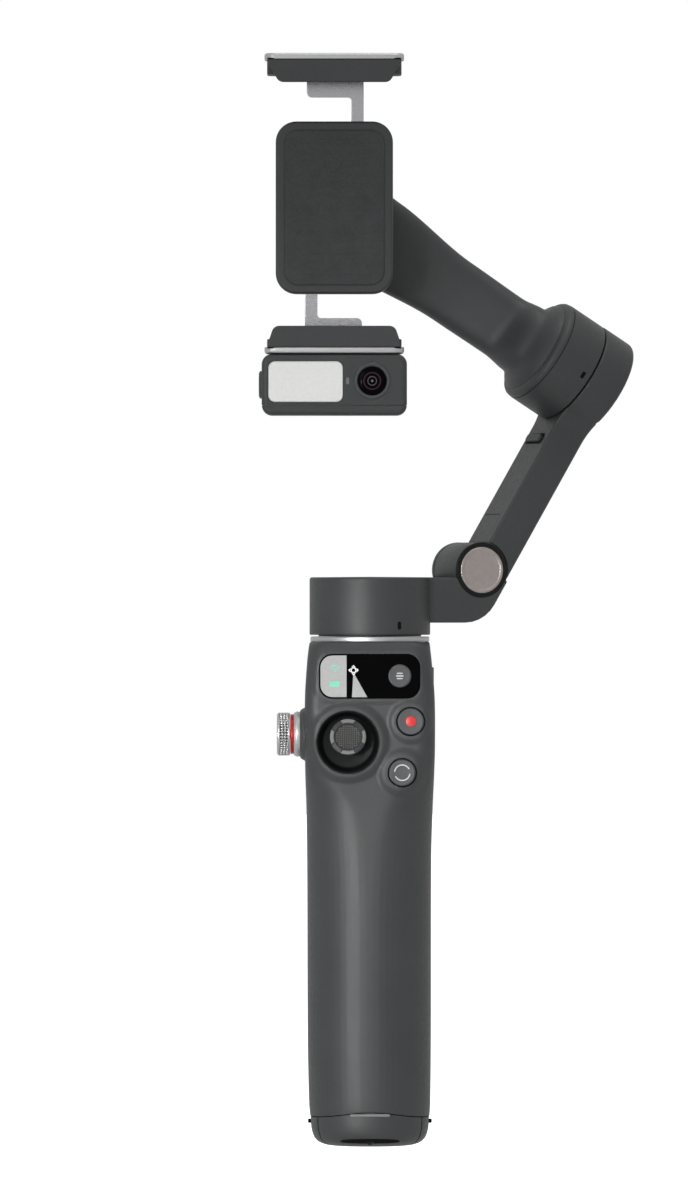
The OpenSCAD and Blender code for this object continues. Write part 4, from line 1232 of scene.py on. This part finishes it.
def tracking_module():
    """Case with light panel, lens, lamp and side key."""
    low, high = node_box("module_body")
    centre = (low + high) / 2
    w, h = high.x - low.x, high.z - low.z
    place = ahead(centre)
    piece = make("module_case", slab(round_box(w, h, 3.0, 10), -high.y, -low.y, 1.6, 1.3, 7), SHELL,
                 "bottom_jaw", place, ["module_body"])
    panel = middle("module_light_panel")
    lens = middle("module_lens")
    dial = middle("module_button")
    ring_tool = loft(
        [[(x, y, z) for x, y in inset(round_box(w + 4, high.y - low.y + 4, 3), d)] for d, z in
         ((0, -0.16), (0, 0.16), (2.3, 0.16), (2.3, -0.16))], wrap=True
    )
    groove_plan = frame_matrix(Vector((centre.x, centre.y, low.z + 2.85)), X, Y, Z)
    cut(
        piece,
        plate_tool(ahead(panel), round_box(21.9, 12.1, 2.15, 8), -low.y - 0.9, 20),
        tool(ahead(lens), 4.75, -low.y - 2.2, 20, 96),
        tool(beside(dial), 4.2, 30.2, 40, 72),
        make("tool", ring_tool, SHELL, None, groove_plan),
    )
    make("light_panel", slab(round_box(21.6, 11.8, 2.0, 10), -low.y - 0.95, -low.y - 0.08, 0.1, 0.4, 5),
         PANEL_WHITE, "bottom_jaw", ahead(panel), ["module_light_panel"])
    lens_place = ahead(lens)
    face = -low.y
    ring = fillet([(4.2, face - 2.0, 0), (4.7, face - 2.0, 0), (5.3, face - 0.3, 0.2),
                   (5.25, face + 0.42, 0.35),
                   (4.35, face + 0.38, 0.3), (4.1, face - 0.5, 0.2)], 5)
    make("lens_ring", lathe(ring, 128, wrap=True), KEY, "bottom_jaw", lens_place, ["module_lens"])
    glass = fillet([(0.05, face - 1.9, 0), (4.15, face - 1.9, 0), (4.12, face - 0.35, 0.2),
                    (3.0, face - 0.05, 2),
                    (0.05, face + 0.05, 0)], 6, closed=False)
    make("lens_glass", lathe(glass, 96), GLASS_BLACK, "bottom_jaw", lens_place)
    # Rings inside the lens, violet, grey and a light dot in the middle, are painted reflections of the
    # glass behind it
    for k, (inner, outer, look) in enumerate(((2.2, 2.6, LENS_PAINTED_REFLECTION), (1.1, 1.4, KEY),
                                              (0.01, 0.35, RIDGE))):
        rise = face + 0.06 - 0.012 * outer**2
        make(f"lens_reflection_ring_{k}", lathe([(inner, rise - 0.2), (inner, rise), (outer, rise - 0.01),
                                         (outer, rise - 0.2)], 64, wrap=True), look, "bottom_jaw",
             lens_place)
    make("module_lamp", slab(round_box(0.95, 2.0, 0.45, 5), face - 0.4, face + 0.1, 0.02, 0.12, 3), RIDGE,
         "bottom_jaw", front(-6.45, 0, lens.z))
    knob = fillet([(0.05, 31.0, 0), (4.0, 31.0, 0), (4.0, 31.8, 0.3), (3.4, 32.15, 0.4), (0.05, 32.2, 0)],
                  5, closed=False)
    make("module_side_key", lathe(knob, 72), KEY, "module_key", beside(dial), ["module_button"])
    bar = slab(round_box(8.2, 1.3, 0.5, 4), 0, 0.16, 0.02, 0.05, 2)
    under = frame_matrix(Vector((CLAMP.x + 1.6, low.y + 2.2, low.z + 0.02)), X, -Y, -Z)
    make("module_foot_mark", bar, RIDGE, "bottom_jaw", under)


pan_motor()
bracket()
upper_arm()
tilt_motor()
tilt_arm()
roll_motor()
clamp()
jaw("upper", 1, "top_jaw", 2.3)
jaw("lower", -1, "bottom_jaw", 3.8)
tracking_module()


# ---------------------------------------------------------------- stage, light and camera

WORLD_LEVEL = 0.75


def seen_or_felt(tree, seen, felt):
    """One strength for what the camera sees and another for the light that it gives."""
    path = tree.nodes.new("ShaderNodeLightPath")
    level = tree.nodes.new("ShaderNodeMapRange")
    level.inputs["To Min"].default_value = felt
    level.inputs["To Max"].default_value = seen
    tree.links.new(path.outputs["Is Camera Ray"], level.inputs["Value"])
    return level.outputs["Result"]


def stage():
    """An even white surround and a plain white floor, low enough for the opened tripod."""
    floor = bpy.data.meshes.new("floor")
    low, half = -0.046, 8
    floor.from_pydata([(-half, -half, low), (half, -half, low), (half, half, low), (-half, half, low)], [],
                      [(0, 1, 2, 3)])
    piece = put("floor", floor)
    m = Nodes("floor_white")
    m.link(m.colours(m.noise(3, 2), (0.70, 0.70, 0.70), (0.72, 0.72, 0.72)), m.shader.inputs["Base Color"])
    m.shader.inputs["Emission Color"].default_value = (1, 1, 1, 1)
    m.link(seen_or_felt(m.tree, 0.85, 0.12), m.shader.inputs["Emission Strength"])
    m.shader.inputs["Roughness"].default_value = 0.9
    floor.materials.append(m.material)

    world = bpy.data.worlds.new("studio")
    bpy.context.scene.world = world
    world.use_nodes = True
    tree = world.node_tree
    background = tree.nodes["Background"]
    background.inputs["Color"].default_value = (1, 1, 1, 1)
    tree.links.new(seen_or_felt(tree, 1.0, WORLD_LEVEL), background.inputs["Strength"])


def hang(name, data, place, aim):
    """A lamp at a place, turned towards its aim."""
    item = put(name, data)
    item.location = place
    item.rotation_euler = (Vector(aim) - Vector(place)).to_track_quat("-Z", "Y").to_euler()


def lamp(name, place, aim, size, power, height=None):
    """A broad soft lamp."""
    data = bpy.data.lights.new(name, "AREA")
    data.shape = "RECTANGLE"
    data.size, data.size_y = size, height or size
    data.energy = power
    hang(name, data, place, aim)


def spot(name, place, aim, cone, power, radius):
    """A soft spot that lights one part of the object."""
    data = bpy.data.lights.new(name, "SPOT")
    data.energy = power
    data.spot_size = math.radians(cone)
    data.spot_blend = 1.0
    data.shadow_soft_size = radius
    hang(name, data, place, aim)


def camera():
    """A distant camera, level with the middle of the object."""
    data = bpy.data.cameras.new("camera")
    item = put("camera", data)
    distance, frame_height, sensor = 3.5, 0.348, 36
    data.sensor_width = sensor
    data.lens = sensor * distance / frame_height
    data.clip_end = 50
    item.location = (-0.0075, -distance, 0.1583)
    item.rotation_euler = (math.radians(90), 0, 0)
    bpy.context.scene.camera = item


stage()
camera()
lamp("front_left", (-0.50, -1.10, 0.32), (0, 0, 0.2), 0.3, 1.7, 0.8)
lamp("top", (0.15, -0.15, 0.95), (0.03, 0, 0.22), 0.5, 1.6)
spot("grip_glow", (-0.22, -0.5, 0.03), (0, 0, 0.022), 14, 80, 0.16)
spot("pan_glow", (-0.22, -0.5, 0.165), (0, 0, 0.163), 5.0, 55, 0.1)
bpy.context.scene.view_settings.view_transform = "Standard"
